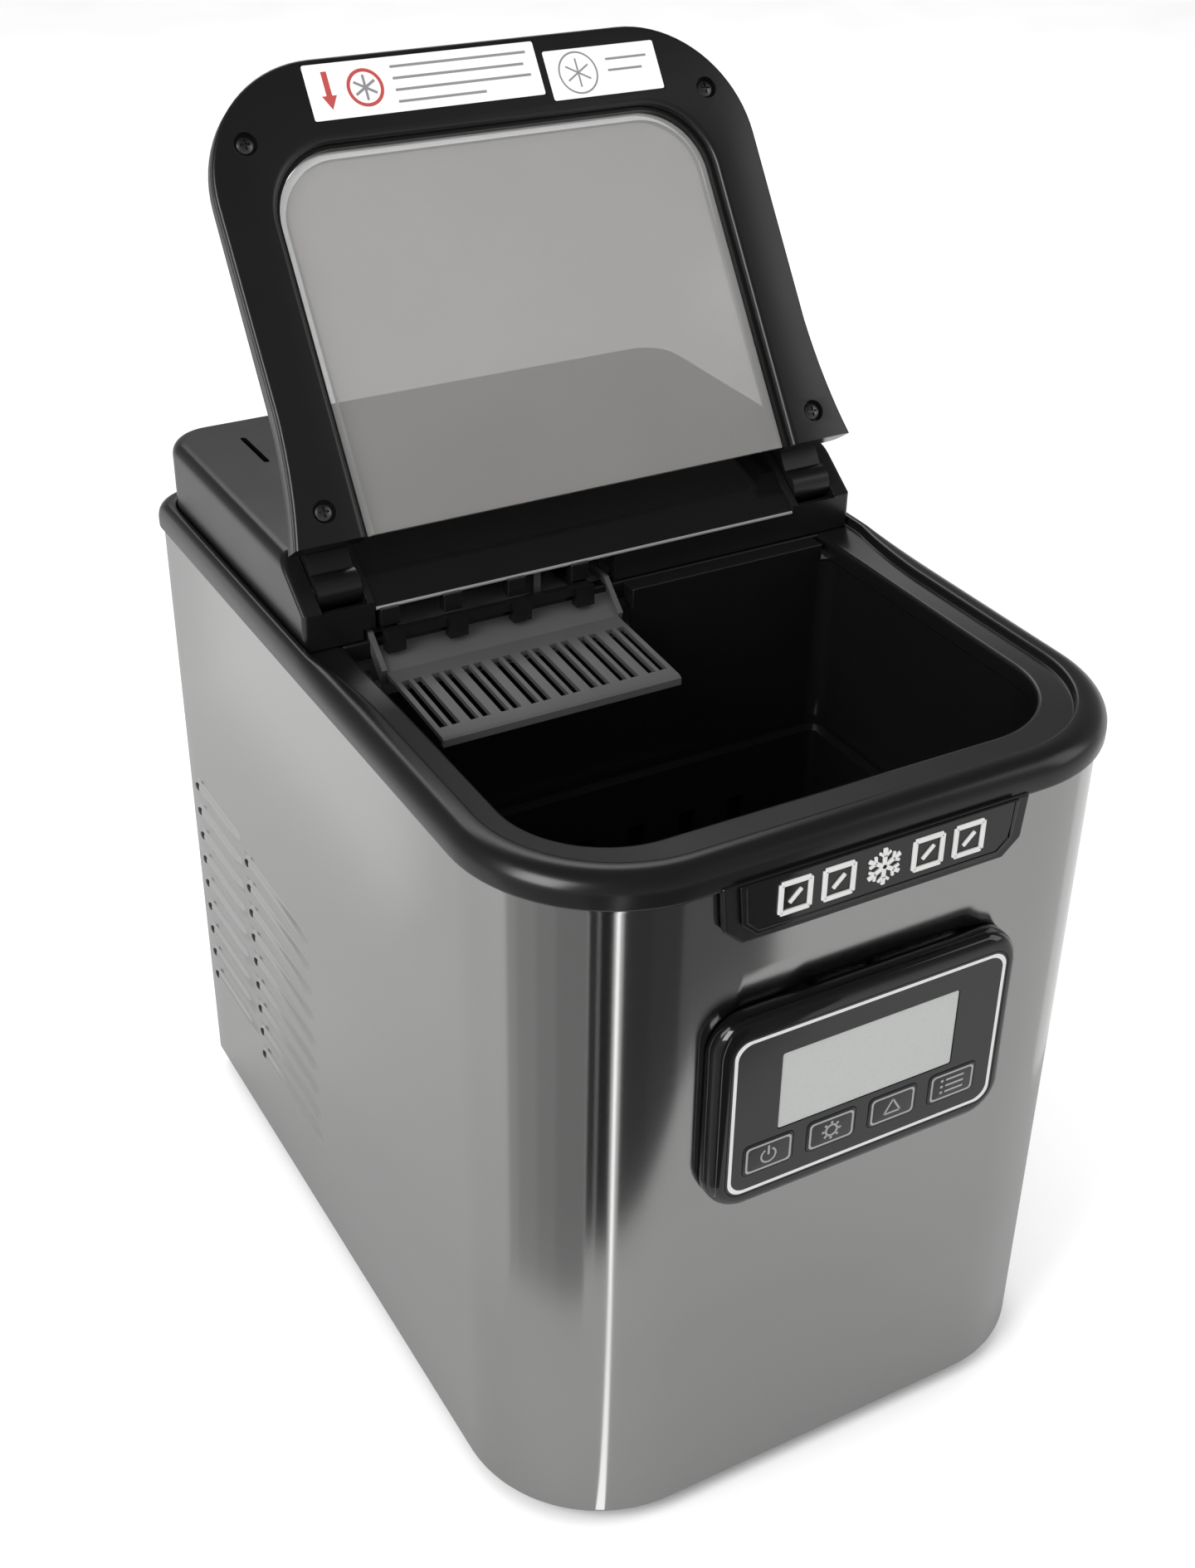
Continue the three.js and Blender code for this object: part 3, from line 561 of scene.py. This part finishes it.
def ice_motif():
    """A row of plain raised marks: a snow crystal between ice cubes."""
    bars = []
    for turn in range(3):
        a = math.radians(90 + 60 * turn)
        c, s = math.cos(a), math.sin(a)
        bars.append(bar_on_front(-7 * c, MOTIF_Z - 7 * s, 7 * c, MOTIF_Z + 7 * s, 1.6))
        for end in (-1, 1):
            for fork in (-1, 1):
                b = a + fork * math.radians(52)
                x, z = end * 3.8 * c, MOTIF_Z + end * 3.8 * s
                bars.append(bar_on_front(x, z, x + end * 2.8 * math.cos(b), z + end * 2.8 * math.sin(b), 1.1))
    h = CUBE_HALF
    corners = ((-h, -h), (h, -h), (h, h), (-h, h))
    for middle in (-34, -17.5, 17.5, 34):
        for (x0, z0), (x1, z1) in zip(corners, corners[1:] + corners[:1]):
            bars.append(bar_on_front(middle + x0, MOTIF_Z + z0, middle + x1, MOTIF_Z + z1, 1.8))
        bars.append(bar_on_front(middle - 2.2, MOTIF_Z - 2.2, middle + 2.2, MOTIF_Z + 2.2, 1.4))
    return several(*bars)


# ---- Rear cover ----
def rear_cover():
    """The hollow hump behind the lid, with hinge slots and fixed tabs over the rake's teeth."""
    rings = []
    for z in (294.3, 308.6, 311, 314, 317, 319.5):
        rings.append(level(cover_loop(z, 0), z))
    for k in range(1, 9):
        a = math.radians(90 * k / 8)
        z = 319.5 + 5.5 * math.sin(a)
        rings.append(level(cover_loop(z, 5.5 * (1 - math.cos(a))), z))
    piece = make("cover_hump", *loft(rings), "case", "satin_black", SATIN, stands_for=["rear_cover"])
    cavity = [(19.5, 280), (19.5, 304.6), (42, 321), (60, 321), (60, 280)]
    ramp = [(10, 302.1), (17, 307.1), (40, 323.5), (40, 330), (10, 330)]
    cutters = [
        side_slab(cavity, -91.6, 91.6),
        slab(rounded(-116.5, 116.5, 48.6, 165.5, 2, 15.5), 280, 321),
        side_slab(ramp, -91, 91),
        box(-91, 9, 10, 20.5, 280, 305.2),
        box(-96, -90, 10, 20.5, 280, 298.5),
    ]
    for x0, x1 in ((93.6, 111.4), (-111.4, -93.6)):
        cutters += [box(x0, x1, 19.5, 46, 303.6, 340), box(x0, x1, 10, 20, 308, 340)]
    for x0, x1 in ((-92.7, -90.3), (90.3, 92.7)):
        cutters.append(slab(rounded(x0, x1, 118, 146, 1.2, steps=4), 310, 330))
    carve(piece, cutters, sharp=30)
    soften(piece, 0.7, 3, 30)
    ramp_face(piece)
    for index, x in enumerate(RAKE_TEETH):
        block = box(x - 3.8, x + 3.8, 15, 19.5, 298.8, 306)
        tab = make(f"cover_tab_{index + 1}", *block, "case", "satin_black", SATIN)
        soften(tab, 0.5, 2)
    # The lip is pale gray: a painted highlight along the ramp's edge.
    lip = [(-90.6, 17.1, 305.9), (90.6, 17.1, 305.9)]
    make("cover_lip", *tube(lip, 0.7, 14), "case", "gloss_black", PAINTED_HIGHLIGHT)


def ramp_face(piece):
    """The slope in front of the cover is polished."""
    piece.data.materials.append(GLOSS)
    for side in piece.data.polygons:
        across = abs(side.center.x) < 91.5 * MM and side.center.y < 41 * MM
        if across and side.normal.z > 0.6 and side.normal.y < -0.4:
            side.material_index = 1


def cover_loop(z, inset):
    """The cover's outline at a height: its front slopes back above the lip."""
    front = 17 + max(0, z - 308.6) * 23 / 16.4
    half, back, back_round = 119 - inset, 168 - inset, 18 - inset
    return rounded(-half, half, front, back, 2.2, back_round)


# ---- Lid ----
def lid_edge():
    """The lid's outline from the left hinge end round the front to the right one."""
    side = [flare(k / SIDE_STEPS) for k in range(SIDE_STEPS + 1)]
    front = arc(LID_HALF - LID_ROUND, LID_FAR + LID_ROUND, LID_ROUND, 0, -90, 20)
    right = side + [(LID_HALF, -100)] + front
    return [(-x, y) for x, y in right] + right[::-1]


def window_edge(inset=0.0):
    """The window opening with one point for each of the outline's."""
    side = [(WINDOW_HALF - inset, flare(k / SIDE_STEPS)[1]) for k in range(SIDE_STEPS + 1)]
    radius = WINDOW_ROUND - inset
    front = arc(WINDOW_HALF - inset - radius, WINDOW_FAR + inset + radius, radius, 0, -90, 20)
    right = side + [(WINDOW_HALF - inset, -100)] + front
    return [(-x, y) for x, y in right] + right[::-1]


def frame_band(profile):
    """A band between the lid's outline and its window: profile gives (u, z) round the section."""
    rings = []
    for o, i in zip(lid_edge(), window_edge()):
        rings.append([(o[0] + (i[0] - o[0]) * u, o[1] + (i[1] - o[1]) * u, z) for u, z in profile])
    return loft(rings)


def shell_back(y):
    """The height of the lid's outer face: the lid is thicker at its hinge end."""
    share = (y - LID_FAR) / (LID_END - LID_FAR)
    return LID_FACE + 9 + 4 * share


def lid_frame():
    """The lid's inner face, with wells for its screws and shallow seats for its labels."""
    face = LID_FACE
    outer = ((0.012, 3), (0, 2.7), (0, 1), (0.012, 0.45), (0.03, 0.12), (0.055, 0))
    inner = ((0.9, 0), (0.94, 0.12), (0.97, 0.45), (0.99, 1), (1, 1.8), (1, 3))
    band = frame_band([(u, face + z) for u, z in outer + inner])
    piece = make("lid_face", *band, "lid", "satin_black", LIDBLACK, IN_LID, 50, ["lid_inner_frame"])
    wells = []
    for x, y in LID_SCREWS:
        wells.append(disc_at(x, y, 4.3, face - 2, face + 2.3))
        wells.append(disc_at(x, y, 2.1, face - 2, face + 5))
    for _, x0, x1, y0, y1 in LABELS:
        wells.append(box(x0 - 0.3, x1 + 0.3, y0 - 0.3, y1 + 0.3, face - 2, face + 0.5))
    carve(piece, [in_lid(well) for well in wells], sharp=40)


def in_lid(solid):
    verts, faces = solid
    return [tuple(IN_LID @ Vector(v)) for v in verts], faces


def disc_at(x, y, radius, z0, z1, steps=24):
    ring = arc(x, y, radius, 0, 360 - 360 / steps, steps - 1)
    return slab(ring, z0, z1)


def lid_shell():
    """The lid's outer shell, and the two knuckles that turn on the hinge pins."""
    low = LID_FACE + 3.3

    def outline_section(o, i):
        back = shell_back(o[1])
        inner = shell_back(i[1])
        return [
            (0, low), (0, back - 3), (0.02, back - 1.7), (0.06, back - 0.7), (0.12, back - 0.15),
            (0.2, back), (0.9, inner), (0.96, inner - 0.2), (1, inner - 0.9), (1, low),
        ]

    rings = []
    for o, i in zip(lid_edge(), window_edge(1.5)):
        section = outline_section(o, i)
        rings.append([(o[0] + (i[0] - o[0]) * u, o[1] + (i[1] - o[1]) * u, z) for u, z in section])
    make("lid_back", *loft(rings), "lid", "satin_black", LIDBLACK, IN_LID, 50, ["lid_shell"])
    for side, name in ((-1, "left"), (1, "right")):
        x0, x1 = sorted((side * 94, side * 111))
        arm = [(-2, -2.8), (-2, 5.4), (-15, 5.7), (-44, -6), (-44, -9), (-17, -9), (-13.4, -2.8)]
        barrel = loft([[(x, y, z) for y, z in arc(0, 0, 6.5, 0, 350, 35)] for x in (x0, x1)])
        knuckle = make(f"lid_knuckle_{name}", *barrel, "lid", "satin_black", LIDBLACK, IN_LID)
        carve(knuckle, [in_lid(side_slab(arm, x0 + 0.05, x1 - 0.05))], "UNION")
        bore = loft([[(x, y, z) for y, z in arc(0, 0, 2.8, 0, 345, 23)] for x in (x0 - 1, x1 + 1)])
        carve(knuckle, [in_lid(bore)])
        soften(knuckle, 0.5, 2, 35)


def lid_window():
    """The smoke pane with a paler bevel round its edge: the bevel's paler colour is a painted highlight."""
    z0, z1 = LID_FACE + 4.8, LID_FACE + 7.4
    end = LID_END - 0.6
    pane = rounded(4.8 - WINDOW_HALF, WINDOW_HALF - 4.8, WINDOW_FAR + 4.8, end, WINDOW_ROUND - 4.8, 0.6, 16)
    make("window_pane", *slab(pane, z0, z1), "lid", "smoke_window", SMOKE, IN_LID, 30, ["lid_window"])
    outer = rounded(1.8 - WINDOW_HALF, WINDOW_HALF - 1.8, WINDOW_FAR + 1.8, end, WINDOW_ROUND - 1.8, 0.6, 16)
    half, far, turn = WINDOW_HALF - 4.9, WINDOW_FAR + 4.9, WINDOW_ROUND - 4.9
    inner = rounded(-half, half, far, end - 0.1, turn, 0.6, 16)
    band = [level(outer, z0 + 0.9), level(inner, z0), level(inner, z1), level(outer, z1)]
    make("window_bevel", *loft(band, True), "lid", "smoke_window", PANE_EDGE_HIGHLIGHT, IN_LID, 30)


def labels():
    """Two stickers on the lid's inner face, with plain rules, rings, crystals and an arrow."""
    face = LID_FACE
    for name, x0, x1, y0, y1 in LABELS:
        film = slab(rounded(x0, x1, y0, y1, 0.8, steps=3), face + 0.2, face - 0.02)
        sheet = make(
            f"label_{name}", *film, "lid", "label_paper", PAPER, IN_LID, stands_for=[f"lid_label_{name}"]
        )
        soften(sheet, 0.05, 1)
    ink = face - 0.06
    rules = []
    for row, right in enumerate((22, 20, 22, 2)):
        y = -180.2 + row * 4.4
        rules.append(box(-34, right, y - 0.5, y + 0.5, ink, face))
    for row, right in enumerate((73, 70)):
        y = -174 + row * 4.4
        rules.append(box(55, right, y - 0.45, y + 0.45, ink, face))
    ring = [(42 + x, -170 + y) for x, y in arc(0, 0, 8.4, 0, 351, 39)]
    rules.append(flat_ring(ring, 0.7, ink, face))
    rules += crystal(42, -170, 5.6, ink, face, 0.7)
    make("label_gray_ink", *several(*rules), "lid", "label_paper", GRAY_INK, IN_LID)
    arrow = [(-61.2, -181), (-59, -181), (-59, -172), (-57.2, -172)]
    arrow += [(-60.1, -166.8), (-63, -172), (-61.2, -172)]
    red = [slab(arrow, ink, face)]
    ring = [(-45.5 + x, -173.6 + y) for x, y in arc(0, 0, 7.2, 0, 351, 39)]
    red.append(flat_ring(ring, 1.3, ink, face))
    make("label_red_ink", *several(*red), "lid", "label_paper", RED_INK, IN_LID)
    snow = several(*crystal(-45.5, -173.6, 4.8, ink, face, 1))
    make("label_black_ink", *snow, "lid", "label_paper", GRAY_INK, IN_LID)


def crystal(x, y, size, z0, z1, width):
    """Three crossed bars, each a hair higher than the last, so that no two faces share a plane."""
    bars = []
    for turn in range(3):
        a = math.radians(90 + 60 * turn)
        c, s = math.cos(a) * size, math.sin(a) * size
        n = Vector((-s, c)).normalized() * width / 2
        corners = [
            (x - c + n.x, y - s + n.y), (x + c + n.x, y + s + n.y),
            (x + c - n.x, y + s - n.y), (x - c - n.x, y - s - n.y),
        ]
        bars.append(slab(corners, z0 + turn * 0.004, z1))
    return bars


def lid_screws():
    """Pan-head screws with a cross recess, down in their wells."""
    z = LID_FACE
    outline = ((0.5, 0.55), (2.2, 0.7), (3.3, 1.3), (3.5, 2), (1.6, 2), (1.6, 7), (0.3, 7.2))
    for index, (x, y) in enumerate(LID_SCREWS):
        verts, faces = turned([(radius, z + height) for radius, height in outline], 28)
        verts = [(px + x, py + y, pz) for px, py, pz in verts]
        screw = make(
            f"lid_cross_screw_{index + 1}", verts, faces, "lid", "chrome", LID_SCREW, IN_LID,
            stands_for=[f"lid_screw_{index + 1}"],
        )
        cross = [(2, 0.4), (0.4, 2)]
        slots = [box(x - a, x + a, y - b, y + b, z, z + 1.5) for a, b in cross]
        carve(screw, [in_lid(slot) for slot in slots])


# ---- Control panel ----
def bezel():
    """The glossy frame round the panel, with the printed line inside it."""

    def ring(inset, z):
        half, tall = 61.5 - inset, 40.4 - inset
        return level(rounded(-half, half, -tall, tall, 14 - inset * 0.9, steps=14), z)

    rings = [ring(0.6, 0), ring(0, 0.5), ring(0, 3.2)]
    for k in range(1, 8):
        a = math.radians(90 * k / 7)
        rings.append(ring(4.6 * (1 - math.cos(a)), 3.2 + 5.3 * math.sin(a)))
    window = rounded(-56.3, 56.3, -34, 34, 7, steps=14)
    rings += [level(window, PANEL_DEPTH), level(window, PANEL_DEPTH - 1.5)]
    shaft = rounded(-52, 52, -30, 29, 4, steps=14)
    rings += [level(shaft, PANEL_DEPTH - 1.5), level(shaft, 0)]
    make("panel_bezel", *loft(rings, True), "case", "gloss_black", GLOSS, IN_PANEL, 55, ["control_bezel"])
    outline = rounded(-55.2, 55.2, -32.9, 32.9, 6, steps=14)
    line = flat_ring(outline, 1.25, PANEL_DEPTH - 0.1, PANEL_DEPTH + 0.12)
    make("panel_outline", *line, "case", "overlay", PRINT, IN_PANEL)


def flat_ring(outline, width, z0, z1):
    """A flat band of the given width inside a rounded outline about its own middle."""
    cx = sum(p[0] for p in outline) / len(outline)
    cy = sum(p[1] for p in outline) / len(outline)
    hx = max(p[0] for p in outline) - cx
    hy = max(p[1] for p in outline) - cy
    inner = [(cx + (x - cx) * (hx - width) / hx, cy + (y - cy) * (hy - width) / hy) for x, y in outline]
    return loft([level(outline, z0), level(outline, z1), level(inner, z1), level(inner, z0)], True)


def panel_film():
    """The printed film, cut out for the display and the keys, and the display behind it."""
    sheet = slab(rounded(-56, 56, -33.7, 33.7, 6.7, steps=14), PANEL_DEPTH - 1.2, PANEL_DEPTH)
    piece = make("panel_sheet", *sheet, "case", "overlay", FILM, IN_PANEL, stands_for=["control_overlay"])
    holes = [slab(rounded(-36.3, 36.3, -10, 22.6, 1, steps=4), 0, 20)]
    for x in button_places():
        holes.append(slab(rounded(x - 10.3, x + 10.3, -26, -12.4, 2.3, steps=6), 0, 20))
    carve(piece, [in_panel(hole) for hole in holes])
    screen = slab(rounded(-36, 36, -9.7, 22.3, 0.8, steps=4), 4.5, PANEL_DEPTH - 0.3)
    make("display_glass", *screen, "case", "display", SCREEN, IN_PANEL, stands_for=["display"])


def in_panel(solid):
    verts, faces = solid
    return [tuple(IN_PANEL @ Vector(v)) for v in verts], faces


def button_places():
    return [-39.5 + 25.7 * index for index in range(4)]


def buttons():
    """Four keys, each a cap on a stem, with a printed border and sign."""
    for name, x in zip(BUTTONS, button_places()):
        rings = []
        for inset, rise in ((0, -2.6), (0, 0.05), (0.25, 0.3), (0.7, KEY_TOP)):
            left, right, low, high = x - 10 + inset, x + 10 - inset, -25.7 + inset, -12.7 - inset
            outline = rounded(left, right, low, high, 2 - inset * 0.5, steps=6)
            rings.append(level(outline, PANEL_DEPTH + rise))
        key = several(loft(rings), disc_at(x, KEY_MIDDLE, 2, -4, PANEL_DEPTH - 2.5))
        body = f"{name}_button"
        make(f"key_{name}", *key, body, "overlay", FILM, IN_PANEL, stands_for=[f"button_{name}"])
        low, high = PANEL_DEPTH + KEY_TOP - 0.1, PANEL_DEPTH + KEY_TOP + 0.08
        border = flat_ring(rounded(x - 9.1, x + 9.1, -24.8, -13.6, 1.6, steps=6), 0.75, low, high)
        marks = several(border, *pictogram(name, x, KEY_MIDDLE, low, high))
        make(f"key_mark_{name}", *marks, body, "overlay", DIM_PRINT, IN_PANEL)


def stroke(x0, y0, x1, y1, width, z0, z1):
    """A flat bar between two points of a sign."""
    n = Vector((y0 - y1, x1 - x0)).normalized() * width / 2
    corners = [(x0 + n.x, y0 + n.y), (x1 + n.x, y1 + n.y), (x1 - n.x, y1 - n.y), (x0 - n.x, y0 - n.y)]
    return slab(corners, z0, z1)


def pictogram(name, x, y, z0, z1):
    """Plain signs in place of captions: power, a dial, an up arrow and a list."""
    if name == "power":
        open_ring = arc(x, y - 0.3, 2.9, 120, 420, 20)
        bars = [stroke(*a, *b, 0.7, z0, z1) for a, b in zip(open_ring, open_ring[1:])]
        return [*bars, stroke(x, y, x, y + 3.9, 0.8, z0, z1)]
    if name == "set":
        bars = []
        for turn in range(8):
            c, s = math.cos(math.tau * turn / 8), math.sin(math.tau * turn / 8)
            bars.append(stroke(x + 2.5 * c, y + 2.5 * s, x + 3.9 * c, y + 3.9 * s, 0.9, z0, z1))
        return [*bars, flat_ring(arc(x, y, 2.7, 0, 345, 23), 0.8, z0, z1)]
    if name == "up":
        corners = [(x - 3.4, y - 2.6), (x + 3.4, y - 2.6), (x, y + 3.2)]
        return [stroke(*a, *b, 0.7, z0, z1) for a, b in zip(corners, corners[1:] + corners[:1])]
    rows = []
    for row in (-2.6, 0, 2.6):
        rows.append(stroke(x - 5, y + row, x - 3.9, y + row, 1, z0, z1))
        rows.append(stroke(x - 2.8, y + row, x + 5, y + row, 0.8, z0, z1))
    return rows


# ---- Bin ----
def bin_tub():
    """The bin's liner: its walls, its floor with a drain hole, and the flange at the rear right."""

    def ring(inset, z):
        half = 104 - inset
        return level(rounded(-half, half, inset - 145.5, 8 - inset * 0.4, 38 - inset * 0.6, 6, 18), z)

    rings = [ring(-3.2, 286), ring(-3.2, 78), ring(2, 66.5), ring(12, 64.6), ring(14, 72), ring(6, 73.6)]
    rings += [ring(3.4, 77), ring(2.4, 83), ring(0, 286)]
    piece = make("bin_tub", *loft(rings, True), "case", "liner", LINER, sharp=50, stands_for=["bin_liner"])
    plate = slab(rounded(-90.5, 90.5, -132, 2.7, 29, 1, 18), 64.6, 71.9)
    base = make("bin_floor", *plate, "case", "liner", LINER)
    carve(piece, [box(-98, 12, 5, 20, 274, 290)], sharp=40)
    flange = make("bin_rear_flange", *box(12.5, 100.5, 8, 16, 285.5, 293.6), "case", "liner", LINER)
    soften(flange, 0.6)
    carve(base, [disc_at(-55, -12, 5, 60, 80)])


# ---- Pieces with no finer stand-in ----
def finish_nodes():
    """Gives every remaining piece its slot's material and rounds its edges."""
    looks = {row["node"]: row["material_slot"] for row in frame["record"]["subparts"]}
    for name, node in frame["nodes"].items():
        node.data.materials.clear()
        node.data.materials.append(SLOT_LOOKS[looks[name]])
        if node.hide_render:
            continue
        weld = node.modifiers.new("weld", "WELD")
        weld.merge_threshold = 0.01 * MM
        soften(node, 0.35, 2, 34)


# ---- Studio ----
def look_rotation(azimuth, elevation, roll):
    """Turns a camera so that it looks along an azimuth from +Y, down by an elevation."""
    az, el, turn = map(math.radians, (azimuth, elevation, roll))
    ahead = Vector((-math.sin(az) * math.cos(el), math.cos(az) * math.cos(el), -math.sin(el)))
    right = ahead.cross(Vector((0, 0, 1))).normalized()
    up = right.cross(ahead)
    level_right = right * math.cos(turn) + up * math.sin(turn)
    level_up = up * math.cos(turn) - right * math.sin(turn)
    return Matrix((level_right, level_up, -ahead)).transposed().to_4x4()


def camera():
    """Looks down on the machine from its front left."""
    azimuth, elevation, roll = -29.66, 32.06, 0.918
    place = (-0.346, -0.59605, 0.64497)
    data = bpy.data.cameras.new("camera")
    data.lens = 46.66
    data.sensor_width = 36
    data.clip_end = 50
    seen = bpy.data.objects.new("camera", data)
    bpy.context.scene.collection.objects.link(seen)
    seen.matrix_world = Matrix.Translation(place) @ look_rotation(azimuth, elevation, roll)
    bpy.context.scene.camera = seen


def lamp(name, place, target, width, height, power):
    """A soft white lamp, given in metres and watts, that the camera doesn't see."""
    data = bpy.data.lights.new(name, "AREA")
    data.shape = "RECTANGLE"
    data.size, data.size_y = width, height
    data.energy = power
    light = bpy.data.objects.new(name, data)
    bpy.context.scene.collection.objects.link(light)
    light.location = place
    light.rotation_euler = (Vector(target) - Vector(place)).to_track_quat("-Z", "Y").to_euler()
    light.visible_camera = False


def glowing(name, strength):
    """A stage material that gives off white light: near black where the strength is small."""
    material = bpy.data.materials.new(name)
    material.use_nodes = True
    tree = material.node_tree
    tree.nodes.remove(tree.nodes["Principled BSDF"])
    light = tree.nodes.new("ShaderNodeEmission")
    light.inputs["Color"].default_value = (1, 1, 1, 1)
    light.inputs["Strength"].default_value = strength
    tree.links.new(light.outputs[0], tree.nodes["Material Output"].inputs["Surface"])
    return material


def reflector(name, corners, strength):
    """A card that only shows in reflections: it is hidden from the camera and casts no shadow."""
    mesh = bpy.data.meshes.new(name)
    mesh.from_pydata([Vector(c) for c in corners], [], [(0, 1, 2, 3)])
    card = bpy.data.objects.new(name, mesh)
    bpy.context.scene.collection.objects.link(card)
    mesh.materials.append(glowing(name, strength))
    card.visible_camera = False
    card.visible_diffuse = False
    card.visible_shadow = False
    card.visible_transmission = False


def corner_cards():
    """Flags and strips of light that the steel reflects, placed from the front left corner's centre.

    Each has its two ends in plan, the height of its lower edge at each end, and its strength.
    """
    x, y, top = WRAP_ROUND - WRAP_HALF, WRAP_FRONT + WRAP_ROUND, 300
    upright = (
        ("flag_side_1", (-168, 0), (-168, -21), (1, 1), 0.5),
        ("flag_side_2", (-168, -21), (-159, -58), (1, 1), 0.42),
        ("flag_side_3", (-159, -58), (-143, -90), (1, 1), 0.36),
        ("flag_side_4", (-143, -90), (-110, -132), (1, 1), 0.31),
        ("flag_edge_1", (-109, -133), (-99, -144), (30, 30), 0.04),
        ("flag_edge_gap", (-98.4, -144.5), (-96, -146), (26, 26), 0.16),
        ("flag_edge_2", (-95.4, -146.4), (-76, -158.4), (26, 26), 0.02),
        ("strip_light", (-71.5, -160.2), (-66, -162.6), (1, 1), 2.8),
        ("flag_front_1", (-60, -165), (-12, -168), (34, 60), 0.06),
        ("flag_front_2", (-12, -168), (44, -168), (60, 100), 0.07),
        ("flag_front_3", (44, -168), (110, -166), (100, 130), 0.14),
        ("card_left", (-186, 330), (-186, 640), (1, 1), 1.0),
        ("card_right", (340, -40), (330, 136), (1, 1), 0.9),
        ("strip_right", (330, 137), (220, 320), (1, 1), 1.15),
    )
    for name, (x0, y0), (x1, y1), (low0, low1), strength in upright:
        ends = ((x + x0, y + y0, low0), (x + x1, y + y1, low1), (x + x1, y + y1, top), (x + x0, y + y0, top))
        reflector(name, [Vector(end) * MM for end in ends], strength)
    line = ((x - 30, y - 52, 1.5), (x - 26, y - 53, 1.5), (x - 65, y - 163, 1.5), (x - 72, y - 160, 1.5))
    reflector("strip_on_floor", [Vector(end) * MM for end in line], 2.2)


def world():
    """White surroundings for the camera and for soft light, and a darker gray ramp for reflections."""
    sky = bpy.data.worlds.new("studio")
    bpy.context.scene.world = sky
    sky.use_nodes = True
    tree = sky.node_tree
    place = tree.nodes.new("ShaderNodeTexCoord")
    split = tree.nodes.new("ShaderNodeSeparateXYZ")
    tree.links.new(place.outputs["Generated"], split.inputs[0])
    ramp = tree.nodes.new("ShaderNodeValToRGB")
    stops = ramp.color_ramp.elements
    stops[0].position, stops[0].color = 0.0, (0.45, 0.45, 0.45, 1)
    stops[1].position, stops[1].color = 0.75, (0.09, 0.09, 0.093, 1)
    middle = stops.new(0.25)
    middle.color = (0.25, 0.25, 0.254, 1)
    tree.links.new(split.outputs["Z"], ramp.inputs["Fac"])
    ray = tree.nodes.new("ShaderNodeLightPath")
    either = tree.nodes.new("ShaderNodeMath")
    either.operation = "MAXIMUM"
    tree.links.new(ray.outputs["Is Camera Ray"], either.inputs[0])
    tree.links.new(ray.outputs["Is Diffuse Ray"], either.inputs[1])
    both = tree.nodes.new("ShaderNodeMix")
    both.data_type = "RGBA"
    both.inputs["B"].default_value = (1, 1, 1, 1)
    tree.links.new(either.outputs[0], both.inputs["Factor"])
    tree.links.new(ramp.outputs["Color"], both.inputs["A"])
    tree.nodes["Background"].inputs["Strength"].default_value = 1.07
    tree.links.new(both.outputs["Result"], tree.nodes["Background"].inputs["Color"])


def dim_in_reflections(look, share):
    """Makes a surface darker where it is seen in a glossy one."""
    darker = look.node("ShaderNodeBsdfDiffuse")
    darker.inputs["Color"].default_value = (*(c * share for c in look.color), 1)
    choose = look.node("ShaderNodeMixShader")
    ray = look.node("ShaderNodeLightPath")
    look.link(ray.outputs["Is Glossy Ray"], choose, 0)
    look.tree.links.new(look.shader.outputs[0], choose.inputs[1])
    look.tree.links.new(darker.outputs[0], choose.inputs[2])
    look.link(choose.outputs[0], look.tree.nodes["Material Output"], "Surface")


def floor():
    """A round pale floor, at half its brightness in reflections."""
    radius, steps = 8, 48
    turns = [math.tau * k / steps for k in range(steps)]
    mesh = bpy.data.meshes.new("floor")
    ring = [(radius * math.cos(a), radius * math.sin(a), 0) for a in turns]
    mesh.from_pydata(ring, [], [tuple(range(steps))])
    ground = bpy.data.objects.new("floor", mesh)
    bpy.context.scene.collection.objects.link(ground)
    look = Look("pale_floor", (0.97, 0.97, 0.97), 0.6)
    look.vary_color(look.noise(3), 0.01)
    look.vary_rough(look.noise(8), 0.1)
    dim_in_reflections(look, 0.5)
    mesh.materials.append(look.material)


def studio():
    bpy.context.scene.view_settings.view_transform = "Standard"
    camera()
    world()
    floor()
    corner_cards()
    lamp("key_left", (-1.5, -0.5, 1.3), (0, 0, 0.2), 0.9, 1.2, 26)
    lamp("fill_right", (1.6, -0.9, 1.2), (0, 0, 0.2), 0.9, 1.2, 5)
    lamp("back_top", (0.3, 1.5, 1.6), (0, 0, 0.3), 1.4, 0.8, 8)


steel_wrap()
louvre_mouths_painted_shade()
rim()
name_plate()
rear_cover()
lid_frame()
lid_shell()
lid_window()
labels()
lid_screws()
bezel()
panel_film()
buttons()
bin_tub()
finish_nodes()
studio()
